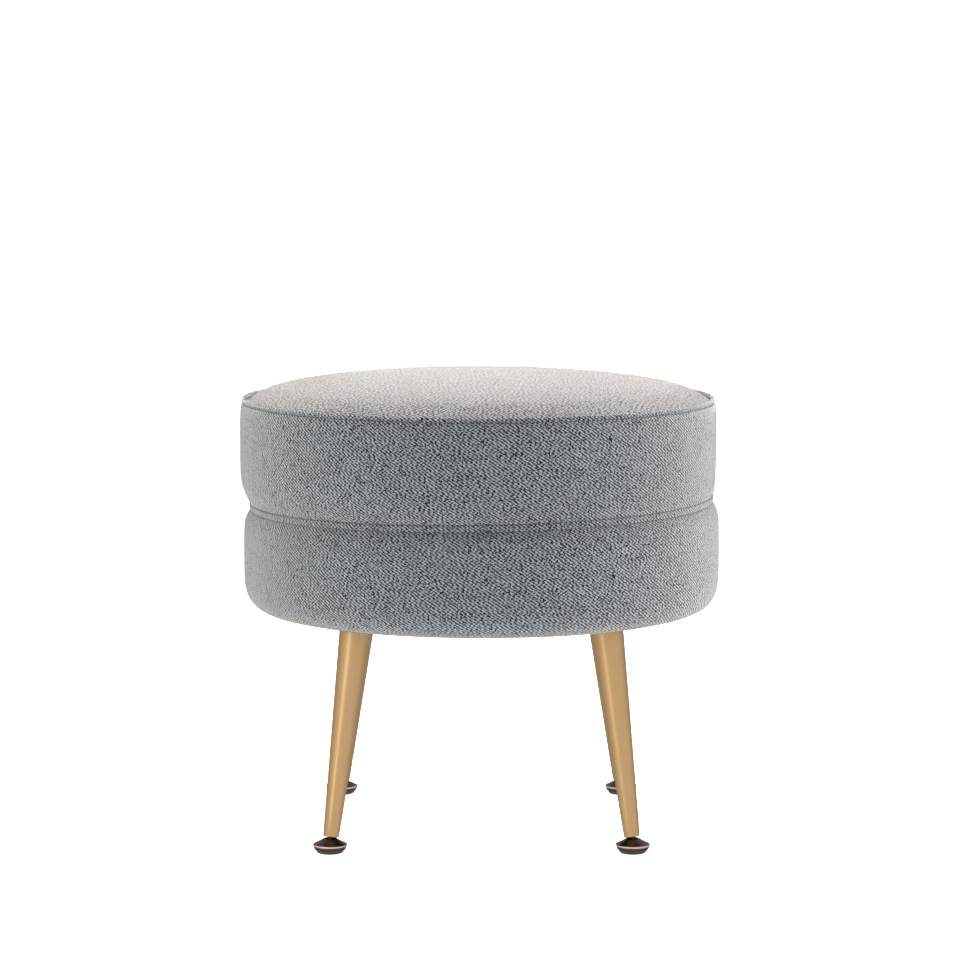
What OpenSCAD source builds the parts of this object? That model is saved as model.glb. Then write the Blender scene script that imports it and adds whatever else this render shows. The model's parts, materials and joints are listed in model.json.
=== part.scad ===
// Round upholstered ottoman: a padded two-band drum on four splayed, tapered metal legs.
// The origin is on the floor under the middle of the seat, with +Z up and -Y to the front.

/* [Body] */
// Greatest diameter across the padded bands
body_d = 500; // [420:5:600]
// Height of the base board's underside above the floor
leg_h = 234; // [180:1:300]
// Height from the base board's underside to the waist seam
lower_band_h = 109.5; // [90:0.5:150]
// Height from the waist seam to the top seam
upper_band_h = 109; // [90:0.5:150]
// Height of the seat's crown above the top seam
crown_h = 25.5; // [15:0.5:40]
// How full the crown is across the middle, as an exponent
crown_fullness = 2.5; // [2:0.1:4]
// How steeply the crown drops at its edge, as an exponent
crown_edge = 0.6; // [0.5:0.05:0.9]

/* [Cover] */
// Thickness of the upholstery cloth
cloth_t = 1.6; // [1:0.1:2.5]
// How far the waist seam is drawn in
waist_draw = 5.6; // [3:0.1:8]
// Height over which the upper band draws in to the waist
upper_draw_h = 31; // [15:1:40]
// Height over which the lower band draws in to the waist
lower_draw_h = 15; // [8:1:30]
// Width of the strip sewn over the waist seam
waist_strip_w = 7; // [5:0.5:12]
// How far the top seam lies inside the greatest radius
rim_draw = 7.5; // [5:0.5:12]
// Height of the rounded shoulder under the top seam
shoulder_h = 19.5; // [12:0.5:30]
// Height of the strip sewn under the top seam
rim_strip_h = 6.5; // [4:0.5:10]
// Thickness of the sewn strips
strip_t = 1; // [0.6:0.1:1.6]
// Width of the rounded bottom edge
hem_corner_w = 18; // [12:1:24]
// Height of the rounded bottom edge
hem_corner_h = 30; // [18:1:40]
// Width of the cloth turned in under the base board
hem_w = 16; // [12:1:24]

/* [Padding] */
// Thickness of the wadding over the seat foam
wadding_t = 6; // [3:0.5:10]
// Thickness of the seat foam at its edge
seat_foam_t = 66; // [40:1:80]

/* [Frame] */
// Thickness of the base board
board_t = 15; // [12:1:22]
// Thickness of the seat deck
deck_t = 12; // [9:1:18]
// Thickness of the bent side wall
wall_t = 4; // [3:0.5:6]
// Width of the open joint between the side wall's ends
wall_joint_w = 0.8; // [0.4:0.1:2]
// Depth of an upright towards the middle
upright_depth = 30; // [20:1:40]
// Width of an upright along the side wall
upright_w = 40; // [30:1:60]
// Diameter of the air holes in the seat deck
vent_d = 20; // [12:1:30]
// Radius of the circle that the air holes lie on
vent_circle_r = 120; // [80:5:160]
// Height of the ring that holds the waist seam
waist_ring_h = 5; // [3:0.5:8]

/* [Underside] */
// Thickness of the dust cover
dust_t = 0.6; // [0.4:0.1:1]
// How far the dust cover laps over the hem
dust_lap = 10; // [6:1:12]
// Number of staples around the dust cover
staple_count = 32; // [16:4:48]
// Length of a staple's crown
staple_crown = 10; // [6:1:14]
// Length of a staple's legs
staple_leg = 8; // [6:1:12]
// Thickness of the staple wire
staple_wire = 0.8; // [0.6:0.1:1.2]

/* [Legs] */
// Angle that each leg leans outwards
leg_splay = 9.7; // [4:0.1:12]
// Diameter of a leg at its top
leg_top_d = 34; // [26:1:42]
// Diameter of a leg at its lower end
leg_end_d = 16.4; // [15:0.1:20]
// Wall thickness of the leg tube
leg_wall = 1.5; // [1:0.1:2]
// Radius of the rolled lip at the leg's lower end
leg_lip_r = 0.8; // [0.4:0.1:1.2]
// Side of the square mounting plate
plate_w = 64; // [58:1:70]
// Thickness of the mounting plate
plate_t = 3; // [2:0.5:5]
// Corner radius of the mounting plate
plate_corner_r = 8; // [4:1:12]
// Gap between the mounting plate's outer corners and the dust cover's step
plate_gap = 1.1; // [0.6:0.1:10]
// Distance between neighbouring plate screws
plate_screw_pitch = 46; // [42:1:52]
// Diameter of the hole in the middle of the plate
plate_hole_d = 10; // [6:1:14]

/* [Screws] */
// Shank diameter of the plate screws
plate_screw_d = 4.5; // [3.5:0.5:5]
// Length of the plate screws under the head
plate_screw_l = 15; // [12:1:17]
// Head diameter of the plate screws
plate_screw_head_d = 9; // [7:0.5:10]
// Head height of the plate screws
plate_screw_head_h = 2.6; // [2:0.1:3]
// Shank diameter of the frame screws
frame_screw_d = 4; // [3:0.5:5]
// Length of the frame screws
frame_screw_l = 45; // [35:1:60]
// Head diameter of the countersunk frame screws
frame_screw_head_d = 8; // [7:0.5:10]

/* [Glides] */
// Height of a glide from the floor to the top of its cap
glide_h = 14.6; // [14:0.1:16]
// Greatest diameter of a glide
glide_d = 35.3; // [32:0.1:40]
// Diameter of the cap at its top
cap_top_d = 14; // [13:0.1:15]
// Height of the metal band under the cap's cone
cap_band_h = 3.6; // [3:0.1:4.2]
// Height of the pad that shows under the cap
pad_h = 4.8; // [4:0.1:5.2]
// Diameter of the pad at the floor
pad_floor_d = 27.2; // [24:0.1:30]
// Rounding of the pad's lower edge
pad_round = 1.4; // [0.8:0.1:2]
// Open groove between the pad and the cap
pad_groove = 0.4; // [0.2:0.1:0.8]
// Height of the swivel ball's centre above the floor
ball_h = 8.5; // [8.2:0.1:9]
// Diameter of the swivel ball
ball_d = 11; // [10:0.1:12]
// Diameter of the threaded stem
stem_d = 8; // [6:0.5:8]
// Length of the stem above the ball's centre
stem_l = 38; // [34:1:50]
// Diameter of the stem's neck under its thread
neck_d = 6.4; // [5.5:0.1:6.6]
// Diameter of the pin at the stem's foot, which turns in the ball
journal_d = 5; // [4:0.1:5.4]
// Diameter of the opening in the cap round the neck
cap_opening_d = 10.2; // [10:0.1:10.6]
// Distance from the ball's centre to the end of the leg
leg_end_gap = 7.75; // [7.7:0.05:9]
// Length of the threaded insert in the leg's end
insert_l = 16; // [12:1:20]

/* [Hidden] */

// Where each leg stands round the body, counted anticlockwise from +X
front_left_angle = 225;
front_right_angle = 315;
back_right_angle = 45;
back_left_angle = 135;
LEG_ANGLES = [front_left_angle, front_right_angle, back_right_angle, back_left_angle];
// Number of uprights round the frame, and the angle of the first
upright_count = 6;
UPRIGHT_ANGLES = [for (i = [0:upright_count - 1]) i * 360 / upright_count];
// Angle of the side wall's open joint, at the back and clear of the uprights
wall_joint_angle = 90;

// Ease between soft pieces and what they lie against
ease = 0.3;
// Running clearance between turning pieces
running = 0.05;
// How far a cut runs past the face that it starts from
overrun = 1;
// Facets of the round pieces
$fn = 96;
// Steps along one curve of the cover's outline
curve_steps = 10;
crown_steps = 24;

body_r = body_d / 2;
waist_r = body_r - waist_draw;
rim_r = body_r - rim_draw;
waist_z = leg_h + lower_band_h;
rim_z = waist_z + upper_band_h;
hem_z = leg_h - cloth_t;
hem_r = body_r - hem_corner_w - hem_w;

// The seat's layers, as depths under the cover's outer face
wadding_depth = cloth_t + ease;
foam_depth = wadding_depth + wadding_t + ease;
foam_r = rim_r - foam_depth;
wall_out_r = foam_r - ease;
wall_in_r = wall_out_r - wall_t;
board_r = wall_in_r - ease;
side_foam_in_r = foam_r + ease;
deck_top_z = rim_z - seat_foam_t;
deck_z = deck_top_z - deck_t;
board_top_z = leg_h + board_t;
// The side wall stands a little above the cloth that turns in under it
wall_lift = 1;
wall_z = leg_h + wall_lift;

// The upright's outer corners just clear the side wall
upright_out_x = sqrt(pow(wall_in_r - ease, 2) - pow(upright_w / 2, 2));
frame_screw_x = upright_out_x - upright_depth / 2;
frame_screw_head_h = (frame_screw_head_d - frame_screw_d) / 2;

// Height of the ball's flat, and depth of the pin's hole, as shares of the ball's radius
ball_flat_share = 0.84;
journal_share = 0.64;
// Height of the metal band's lower edge, as a share of the band
rim_low_share = 0.55;
// Wall of the cap round the pad's plug, as a share of the glide's diameter
cap_wall_share = 1 / 16;
// How far the plug's top lies under the ball's centre, as a share of the ball's diameter
plug_drop_share = 1 / 6;
// Radius of the rolled fold at the top seam, as a share of the strip's thickness
fold_share = 0.8;

// The glides and the legs
ball_r = ball_d / 2;
socket_r = ball_r + running;
plate_top_z = leg_h - dust_t;
plate_z = plate_top_z - plate_t;
// The plate's outer corners reach to the step of the dust cover, and set the leg's place
dust_step_r = hem_r - ease - dust_t;
plate_corner_y = plate_w / 2 - plate_corner_r;
plate_corner_x = sqrt(pow(dust_step_r - plate_gap - plate_corner_r, 2) - pow(plate_corner_y, 2));
plate_x = plate_corner_x - plate_corner_y;
ball_x = plate_x + (plate_z - ball_h) * tan(leg_splay);
leg_top_s = (plate_z - ball_h) / cos(leg_splay);
leg_taper = (leg_top_d - leg_end_d) / 2 / (leg_top_s - leg_end_gap);
leg_cut_over = leg_top_d * tan(leg_splay) + overrun;
ball_flat_s = ball_flat_share * ball_r;
journal_depth = journal_share * ball_r;
band_z = pad_h + pad_groove;
rim_low_z = band_z + rim_low_share * cap_band_h;
rim_high_z = band_z + cap_band_h;
cap_wall = cap_wall_share * glide_d;
plug_z = ball_h - plug_drop_share * ball_d;
// Play all round between the pad's plug and the cap
plug_play = 4 * running;

function unit(v) = v / norm(v);
function path_dir(path, i) = unit(path[min(i + 1, len(path) - 1)] - path[max(i - 1, 0)]);
// The path moved sideways by d, to the left of the way it runs
function beside(path, d) = [
    for (i = [0:len(path) - 1]) let (t = path_dir(path, i)) path[i] + d * [-t[1], t[0]]
];
function back_to_front(path) = [for (i = [len(path) - 1:-1:0]) path[i]];
// A quarter of an ellipse about [x, z] with half widths a and b, from one angle to another
function arc(x, z, a, b, from, to, n = curve_steps) = [
    for (i = [0:n]) let (t = from + (to - from) * i / n) [x + a * cos(t), z + b * sin(t)]
];

// Outer face of the lower band, from the hem's inner edge out, up and in to the waist seam
lower_path = concat(
    [[hem_r, hem_z]],
    arc(body_r - hem_corner_w, hem_z + hem_corner_h, hem_corner_w, hem_corner_h, -90, 0),
    [for (i = [0:curve_steps]) let (t = i / curve_steps)
        [body_r - waist_draw * t * t,
         waist_z - waist_strip_w / 2 - lower_draw_h * (1 - t)]],
    [[waist_r, waist_z - running]]
);
// Outer face of the upper band, from the waist seam out, up and in to the top seam
upper_path = concat(
    [[waist_r, waist_z + running]],
    [for (i = [0:curve_steps]) let (t = 1 - i / curve_steps)
        [body_r - waist_draw * t * t,
         waist_z + waist_strip_w / 2 + upper_draw_h * (1 - t)]],
    arc(body_r - rim_draw + ease, rim_z - shoulder_h, rim_draw - ease, shoulder_h, 0, 90)
);
// Height of the crown at radius r, for a layer at a depth under its outer face
function crown_z(r, depth) = rim_z + (crown_h - depth)
    * pow(max(0, 1 - pow(r / (rim_r - depth), crown_fullness)), crown_edge);
// The crown's outline from the middle to the rim, with shorter steps towards the rim
function crown_path(depth) = [
    for (i = [0:crown_steps]) let (r = (rim_r - depth) * (1 - pow(1 - i / crown_steps, 2)))
        [r, crown_z(r, depth)]
];

// A shell of the cloth's thickness inside an outline of its outer face
module cloth_shell(path) {
    rotate_extrude() polygon(concat(path, back_to_front(beside(path, cloth_t))));
}

module top_panel() {
    color("lightslategray") rotate_extrude()
        polygon(concat(crown_path(0), back_to_front(crown_path(cloth_t))));
}

// The strip follows the shoulder, with a rolled fold at the top seam
module rim_strip() {
    shoulder = [for (p = upper_path) if (p[1] >= rim_z - rim_strip_h) p];
    fold_r = fold_share * strip_t;
    color("lightslategray") union() {
        rotate_extrude() polygon(concat(
            beside(shoulder, -running - strip_t), back_to_front(beside(shoulder, -running))));
        rotate_extrude() translate([rim_r + ease + fold_r, rim_z + fold_r + running])
            circle(r = fold_r);
    }
}

module upper_band() {
    color("lightslategray") cloth_shell(upper_path);
}

module lower_band() {
    color("lightslategray") cloth_shell(lower_path);
}

module waist_strip() {
    edge = strip_t / 2;
    low = waist_z - waist_strip_w / 2;
    high = waist_z + waist_strip_w / 2;
    inner = waist_r + running;
    color("slategray") rotate_extrude() polygon([
        [inner, low], [inner + edge, low], [inner + strip_t, low + edge],
        [inner + strip_t, high - edge], [inner + edge, high], [inner, high]
    ]);
}

module seat_wadding() {
    color("white") rotate_extrude() polygon(concat(
        crown_path(wadding_depth), back_to_front(crown_path(wadding_depth + wadding_t))));
}

module seat_foam() {
    color("khaki") rotate_extrude() polygon(concat(
        [[0, deck_top_z]], crown_path(foam_depth), [[foam_r, deck_top_z]]));
}

// Side foam between two heights, behind the cloth whose outer face is given
module side_foam(path, low, high) {
    face = [for (p = beside(path, cloth_t + ease))
        if (p[0] > side_foam_in_r && p[1] >= low && p[1] <= high) p];
    last = face[len(face) - 1];
    color("khaki") rotate_extrude() polygon(concat(
        face, [[last[0], high], [side_foam_in_r, high], [side_foam_in_r, face[0][1]]]));
}

module upper_side_foam() {
    side_foam(upper_path, waist_z + waist_ring_h / 2 + ease, rim_z - cloth_t - ease);
}

module lower_side_foam() {
    side_foam(lower_path, leg_h, waist_z - waist_ring_h / 2 - ease);
}

module waist_ring() {
    color("burlywood") translate([0, 0, waist_z - waist_ring_h / 2]) difference() {
        cylinder(r = waist_r - cloth_t - ease, h = waist_ring_h);
        translate([0, 0, -overrun])
            cylinder(r = side_foam_in_r, h = waist_ring_h + 2 * overrun);
    }
}

// A countersunk screw with its head's top at z = 0 and its point down
module frame_screw(play = 0) {
    rotate_extrude() polygon([
        [0, 0], [frame_screw_head_d / 2 + play, 0], [frame_screw_d / 2 + play, -frame_screw_head_h],
        [frame_screw_d / 2 + play, -frame_screw_l + frame_screw_d - play],
        [0, -frame_screw_l - play]
    ]);
}

module deck_screw_set(play = 0) {
    for (angle = UPRIGHT_ANGLES)
        rotate([0, 0, angle]) translate([frame_screw_x, 0, deck_top_z]) frame_screw(play);
}

module base_screw_set(play = 0) {
    for (angle = UPRIGHT_ANGLES)
        rotate([0, 0, angle]) translate([frame_screw_x, 0, leg_h])
            rotate([180, 0, 0]) frame_screw(play);
}

module deck_screws() {
    color("silver") deck_screw_set();
}

module base_screws() {
    color("silver") base_screw_set();
}

module seat_deck() {
    color("burlywood") difference() {
        translate([0, 0, deck_z]) cylinder(r = board_r, h = deck_t);
        deck_screw_set(running);
        translate([0, 0, deck_z - overrun]) cylinder(d = vent_d, h = deck_t + 2 * overrun);
        for (angle = UPRIGHT_ANGLES)
            rotate([0, 0, angle + 180 / upright_count])
                translate([vent_circle_r, 0, deck_z - overrun])
                cylinder(d = vent_d, h = deck_t + 2 * overrun);
    }
}

module base_board() {
    color("burlywood") difference() {
        translate([0, 0, leg_h]) cylinder(r = board_r, h = board_t);
        base_screw_set(running);
        for (angle = LEG_ANGLES) at_plate(angle) plate_screw_holes(running);
    }
}

// A bent board hoop, open where its two ends meet
module side_wall() {
    color("peru") difference() {
        translate([0, 0, wall_z]) cylinder(r = wall_out_r, h = deck_top_z - wall_z);
        translate([0, 0, wall_z - overrun])
            cylinder(r = wall_in_r, h = deck_top_z - wall_z + 2 * overrun);
        rotate([0, 0, wall_joint_angle])
            translate([wall_in_r - overrun, -wall_joint_w / 2, wall_z - overrun])
            cube([wall_t + 2 * overrun, wall_joint_w, deck_top_z - wall_z + 2 * overrun]);
    }
}

module upright(i) {
    color("burlywood") difference() {
        rotate([0, 0, UPRIGHT_ANGLES[i]])
            translate([upright_out_x - upright_depth, -upright_w / 2, board_top_z])
            cube([upright_depth, upright_w, deck_z - board_top_z]);
        deck_screw_set(running);
        base_screw_set(running);
    }
}

// The dust cover lies on the board and steps down over the hem
module dust_cover() {
    step_r = dust_step_r + dust_t;
    color("dimgray") difference() {
        rotate_extrude() polygon([
            [0, leg_h], [step_r, leg_h], [step_r, hem_z], [hem_r + dust_lap, hem_z],
            [hem_r + dust_lap, hem_z - dust_t], [dust_step_r, hem_z - dust_t],
            [dust_step_r, leg_h - dust_t], [0, leg_h - dust_t]
        ]);
        for (angle = LEG_ANGLES) at_plate(angle) plate_screw_holes(ease);
    }
}

module staple() {
    translate([-staple_wire / 2, -staple_crown / 2, -staple_wire])
        cube([staple_wire, staple_crown, staple_wire]);
    for (side = [-1, 1])
        translate([-staple_wire / 2, side * (staple_crown - staple_wire) / 2 - staple_wire / 2, 0])
            cube([staple_wire, staple_wire, staple_leg]);
}

module cover_staples() {
    color("silver") for (i = [0:staple_count - 1])
        rotate([0, 0, (i + 0.5) * 360 / staple_count])
            translate([hem_r + dust_lap / 2, 0, hem_z - dust_t]) staple();
}

// Places a piece of a mounting plate, with z = 0 at the plate's lower face
module at_plate(angle) {
    rotate([0, 0, angle]) translate([plate_x, 0, plate_z]) children();
}

// Places a piece of a leg, with z along the leg and the ball's centre at z = 0
module at_leg(angle) {
    rotate([0, 0, angle]) translate([ball_x, 0, ball_h]) rotate([0, -leg_splay, 0]) children();
}

// Places a piece of a glide's base, with z = 0 on the floor
module at_glide(angle) {
    rotate([0, 0, angle]) translate([ball_x, 0, 0]) children();
}

module at_plate_screws() {
    for (x = [-1, 1], y = [-1, 1])
        translate([x * plate_screw_pitch / 2, y * plate_screw_pitch / 2, 0]) children();
}

module plate_screw_holes(play) {
    at_plate_screws() cylinder(d = plate_screw_d + 2 * play, h = plate_screw_l + play);
}

module leg_plate(angle) {
    flat_w = 2 * plate_corner_y;
    color("darkgoldenrod") at_plate(angle) difference() {
        union() {
            translate([-plate_w / 2, -flat_w / 2, 0]) cube([plate_w, flat_w, plate_t]);
            translate([-flat_w / 2, -plate_w / 2, 0]) cube([flat_w, plate_w, plate_t]);
            for (x = [-1, 1], y = [-1, 1])
                translate([x * plate_corner_y, y * plate_corner_y, 0])
                    cylinder(r = plate_corner_r, h = plate_t);
        }
        translate([0, 0, -overrun]) cylinder(d = plate_hole_d, h = plate_t + 2 * overrun);
        at_plate_screws() translate([0, 0, -overrun])
            cylinder(d = plate_screw_d + 2 * ease, h = plate_t + 2 * overrun);
    }
}

// A round-headed wood screw with a cross recess, pointing up
module plate_screw() {
    recess_w = plate_screw_head_d / 8;
    recess_l = plate_screw_head_d / 2;
    recess_depth = plate_screw_head_h / 2;
    shank_r = plate_screw_d / 2;
    difference() {
        rotate_extrude() polygon(concat(
            [[0, plate_screw_l], [shank_r, plate_screw_l - shank_r], [shank_r, 0]],
            arc(0, 0, plate_screw_head_d / 2, plate_screw_head_h, 0, -90)));
        for (turn = [0, 90])
            rotate([0, 0, turn])
                translate([-recess_l / 2, -recess_w / 2, -plate_screw_head_h - overrun])
                cube([recess_l, recess_w, recess_depth + overrun]);
    }
}

module plate_screws(angle) {
    color("goldenrod") at_plate(angle) at_plate_screws() plate_screw();
}

// A tapered tube with a rolled lip at its foot, cut level where it meets the plate
module leg_tube(angle) {
    function outer_r(s) = leg_end_d / 2 + leg_taper * (s - leg_end_gap);
    top_s = leg_top_s + leg_cut_over;
    lip = arc(leg_end_d / 2 - leg_lip_r, leg_end_gap + leg_lip_r, leg_lip_r, leg_lip_r, -90, 0, 4);
    color("goldenrod") difference() {
        at_leg(angle) rotate_extrude() polygon(concat(
            [[outer_r(leg_end_gap) - leg_wall, leg_end_gap]], lip,
            [[outer_r(top_s), top_s], [outer_r(top_s) - leg_wall, top_s]]));
        at_plate(angle) translate([-leg_top_d, -leg_top_d, 0])
            cube([2 * leg_top_d, 2 * leg_top_d, 2 * leg_cut_over]);
    }
}

// A threaded bush pressed into the leg's tapered end
module foot_insert(angle) {
    low_r = leg_end_d / 2 - leg_wall - running;
    high_r = low_r + leg_taper * insert_l;
    color("gray") at_leg(angle) translate([0, 0, leg_end_gap]) difference() {
        cylinder(r1 = low_r, r2 = high_r, h = insert_l);
        translate([0, 0, -overrun])
            cylinder(d = stem_d + 2 * running, h = insert_l + 2 * overrun);
    }
}

// The threaded stem, its neck and the pin that turns in the ball
module glide_stem(angle) {
    chamfer = (stem_d - neck_d) / 2;
    color("silver") at_leg(angle) rotate_extrude() polygon([
        [0, -journal_depth + running], [journal_d / 2, -journal_depth + running],
        [journal_d / 2, ball_flat_s + running], [neck_d / 2, ball_flat_s + running],
        [neck_d / 2, leg_end_gap], [stem_d / 2, leg_end_gap + running],
        [stem_d / 2, stem_l - chamfer], [neck_d / 2, stem_l], [0, stem_l]
    ]);
}

// The ball has a flat where the stem's neck bears on it
module swivel_ball(angle) {
    color("gray") at_leg(angle) difference() {
        sphere(d = ball_d);
        translate([-ball_r, -ball_r, ball_flat_s]) cube([ball_d, ball_d, ball_r]);
        translate([0, 0, -journal_depth])
            cylinder(d = journal_d + 2 * running, h = journal_depth + ball_r);
    }
}

// The cap's cone and its bright edge, with the upper half of the ball's socket
module glide_cap(angle) {
    top_r = cap_top_d / 2;
    edge_r = glide_d / 2;
    edge = cap_band_h / 7;
    recess_r = edge_r - cap_wall;
    color("saddlebrown") at_glide(angle) difference() {
        rotate_extrude() polygon([
            [0, glide_h], [top_r - edge / 2, glide_h], [top_r, glide_h - edge / 2],
            [edge_r - edge, rim_high_z + edge / 2], [edge_r, rim_high_z - edge],
            [edge_r, rim_low_z + edge], [edge_r - edge, rim_low_z],
            [edge_r - 2 * edge, band_z + edge], [edge_r - 3 * edge, band_z],
            [recess_r, band_z], [recess_r, plug_z + plug_play], [0, plug_z + plug_play]
        ]);
        translate([0, 0, ball_h]) sphere(r = socket_r);
        translate([0, 0, ball_h]) cylinder(d = cap_opening_d, h = glide_h);
    }
}

// The pad that stands on the floor, with the lower half of the ball's socket
module glide_pad(angle) {
    floor_r = pad_floor_d / 2;
    plug_r = glide_d / 2 - cap_wall - plug_play;
    brim_r = (floor_r + 2 * glide_d / 2) / 3;
    color("darkslategray") at_glide(angle) difference() {
        rotate_extrude() polygon(concat(
            [[0, 0]],
            arc(floor_r - pad_round, pad_round, pad_round, pad_round, -90, 0, 6),
            [[brim_r, pad_h - pad_groove], [brim_r - pad_groove, pad_h], [plug_r, pad_h],
             [plug_r, plug_z], [0, plug_z]]));
        translate([0, 0, ball_h]) sphere(r = socket_r);
    }
}

top_panel();
rim_strip();
upper_band();
waist_strip();
lower_band();
seat_wadding();
seat_foam();
upper_side_foam();
lower_side_foam();
seat_deck();
base_board();
side_wall();
waist_ring();
upright(0);  // upright_1
upright(1);  // upright_2
upright(2);  // upright_3
upright(3);  // upright_4
upright(4);  // upright_5
upright(5);  // upright_6
deck_screws();
base_screws();
dust_cover();
cover_staples();
leg_plate(front_left_angle);  // leg_plate_front_left
leg_plate(front_right_angle);  // leg_plate_front_right
leg_plate(back_right_angle);  // leg_plate_back_right
leg_plate(back_left_angle);  // leg_plate_back_left
plate_screws(front_left_angle);  // plate_screws_front_left
plate_screws(front_right_angle);  // plate_screws_front_right
plate_screws(back_right_angle);  // plate_screws_back_right
plate_screws(back_left_angle);  // plate_screws_back_left
leg_tube(front_left_angle);  // leg_tube_front_left
leg_tube(front_right_angle);  // leg_tube_front_right
leg_tube(back_right_angle);  // leg_tube_back_right
leg_tube(back_left_angle);  // leg_tube_back_left
foot_insert(front_left_angle);  // foot_insert_front_left
foot_insert(front_right_angle);  // foot_insert_front_right
foot_insert(back_right_angle);  // foot_insert_back_right
foot_insert(back_left_angle);  // foot_insert_back_left
glide_stem(front_left_angle);  // glide_stem_front_left
glide_stem(front_right_angle);  // glide_stem_front_right
glide_stem(back_right_angle);  // glide_stem_back_right
glide_stem(back_left_angle);  // glide_stem_back_left
swivel_ball(front_left_angle);  // swivel_ball_front_left
swivel_ball(front_right_angle);  // swivel_ball_front_right
swivel_ball(back_right_angle);  // swivel_ball_back_right
swivel_ball(back_left_angle);  // swivel_ball_back_left
glide_cap(front_left_angle);  // glide_cap_front_left
glide_cap(front_right_angle);  // glide_cap_front_right
glide_cap(back_right_angle);  // glide_cap_back_right
glide_cap(back_left_angle);  // glide_cap_back_left
glide_pad(front_left_angle);  // glide_pad_front_left
glide_pad(front_right_angle);  // glide_pad_front_right
glide_pad(back_right_angle);  // glide_pad_back_right
glide_pad(back_left_angle);  // glide_pad_back_left
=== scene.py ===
"""Round upholstered ottoman on four splayed brass legs with levelling glides.

The covers, padding, seams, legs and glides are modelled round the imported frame,
in metres, and the hidden woodwork keeps its CAD meshes under new finishes.
"""

import json
import logging
import math
from collections.abc import Callable, Iterable, Iterator, Sequence
from contextlib import contextmanager
from dataclasses import dataclass
from enum import Enum

import bpy
from mathutils import Matrix, Vector, noise

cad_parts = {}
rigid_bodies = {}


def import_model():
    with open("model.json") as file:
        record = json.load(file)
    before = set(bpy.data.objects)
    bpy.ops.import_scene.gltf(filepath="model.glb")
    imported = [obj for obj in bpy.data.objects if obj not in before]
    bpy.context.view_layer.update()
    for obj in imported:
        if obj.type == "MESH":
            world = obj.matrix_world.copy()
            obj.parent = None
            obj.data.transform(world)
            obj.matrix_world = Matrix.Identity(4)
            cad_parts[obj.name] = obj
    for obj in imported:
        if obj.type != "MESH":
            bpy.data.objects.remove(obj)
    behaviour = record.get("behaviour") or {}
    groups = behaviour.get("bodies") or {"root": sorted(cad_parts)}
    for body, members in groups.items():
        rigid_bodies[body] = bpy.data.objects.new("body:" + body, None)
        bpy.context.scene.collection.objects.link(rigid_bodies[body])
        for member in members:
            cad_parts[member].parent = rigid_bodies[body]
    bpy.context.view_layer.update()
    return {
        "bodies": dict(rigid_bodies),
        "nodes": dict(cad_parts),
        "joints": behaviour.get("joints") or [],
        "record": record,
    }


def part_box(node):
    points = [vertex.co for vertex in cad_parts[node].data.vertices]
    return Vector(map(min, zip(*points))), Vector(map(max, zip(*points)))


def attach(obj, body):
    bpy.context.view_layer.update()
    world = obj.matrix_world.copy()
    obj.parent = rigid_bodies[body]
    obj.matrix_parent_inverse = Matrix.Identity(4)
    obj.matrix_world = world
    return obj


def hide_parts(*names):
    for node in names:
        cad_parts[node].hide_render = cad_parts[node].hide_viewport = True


MM = 0.001
TURN = 2 * math.pi
# How near two points count as one, and how near a vertex counts as at a place
MERGE = 0.002 * MM
NEAR = 0.02 * MM
LOG = logging.getLogger("ottoman")

Pair = tuple[float, float]
Point = Pair
Place = tuple[float, float, float]
Colour = tuple[float, float, float]
Socket = bpy.types.NodeSocket
Value = Socket | float

WHITE: Colour = (1.0, 1.0, 1.0)
WARM_WHITE: Colour = (1.0, 0.90, 0.83)
BODY_MIDDLE: Place = (0.0, 0.0, 0.36)
SEAT_MIDDLE: Place = (0.0, 0.0, 0.46)


class Corner(Enum):
    """The four corners that carry a leg, with their angle about the middle in degrees."""

    FRONT_LEFT = 225
    FRONT_RIGHT = 315
    BACK_RIGHT = 45
    BACK_LEFT = 135

    @property
    def tag(self) -> str:
        """The corner's name as the frame writes it."""
        return self.name.lower()

    @property
    def turn(self) -> Matrix:
        """The turn about the Z axis that brings the right side to the corner."""
        return Matrix.Rotation(math.radians(self.value), 4, "Z")


class Slot(Enum):
    """The record's material slots for the new pieces, which the script lists but does not assign."""

    CLOTH = "cover_cloth"
    FOAM = "foam"
    WADDING = "wadding"
    DUST_CLOTH = "dust_cloth"
    BRASS = "brushed_brass"
    ZINC = "zinc_steel"
    BRONZE = "antique_bronze"
    PAD = "pad_plastic"


# Shader graphs


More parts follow.
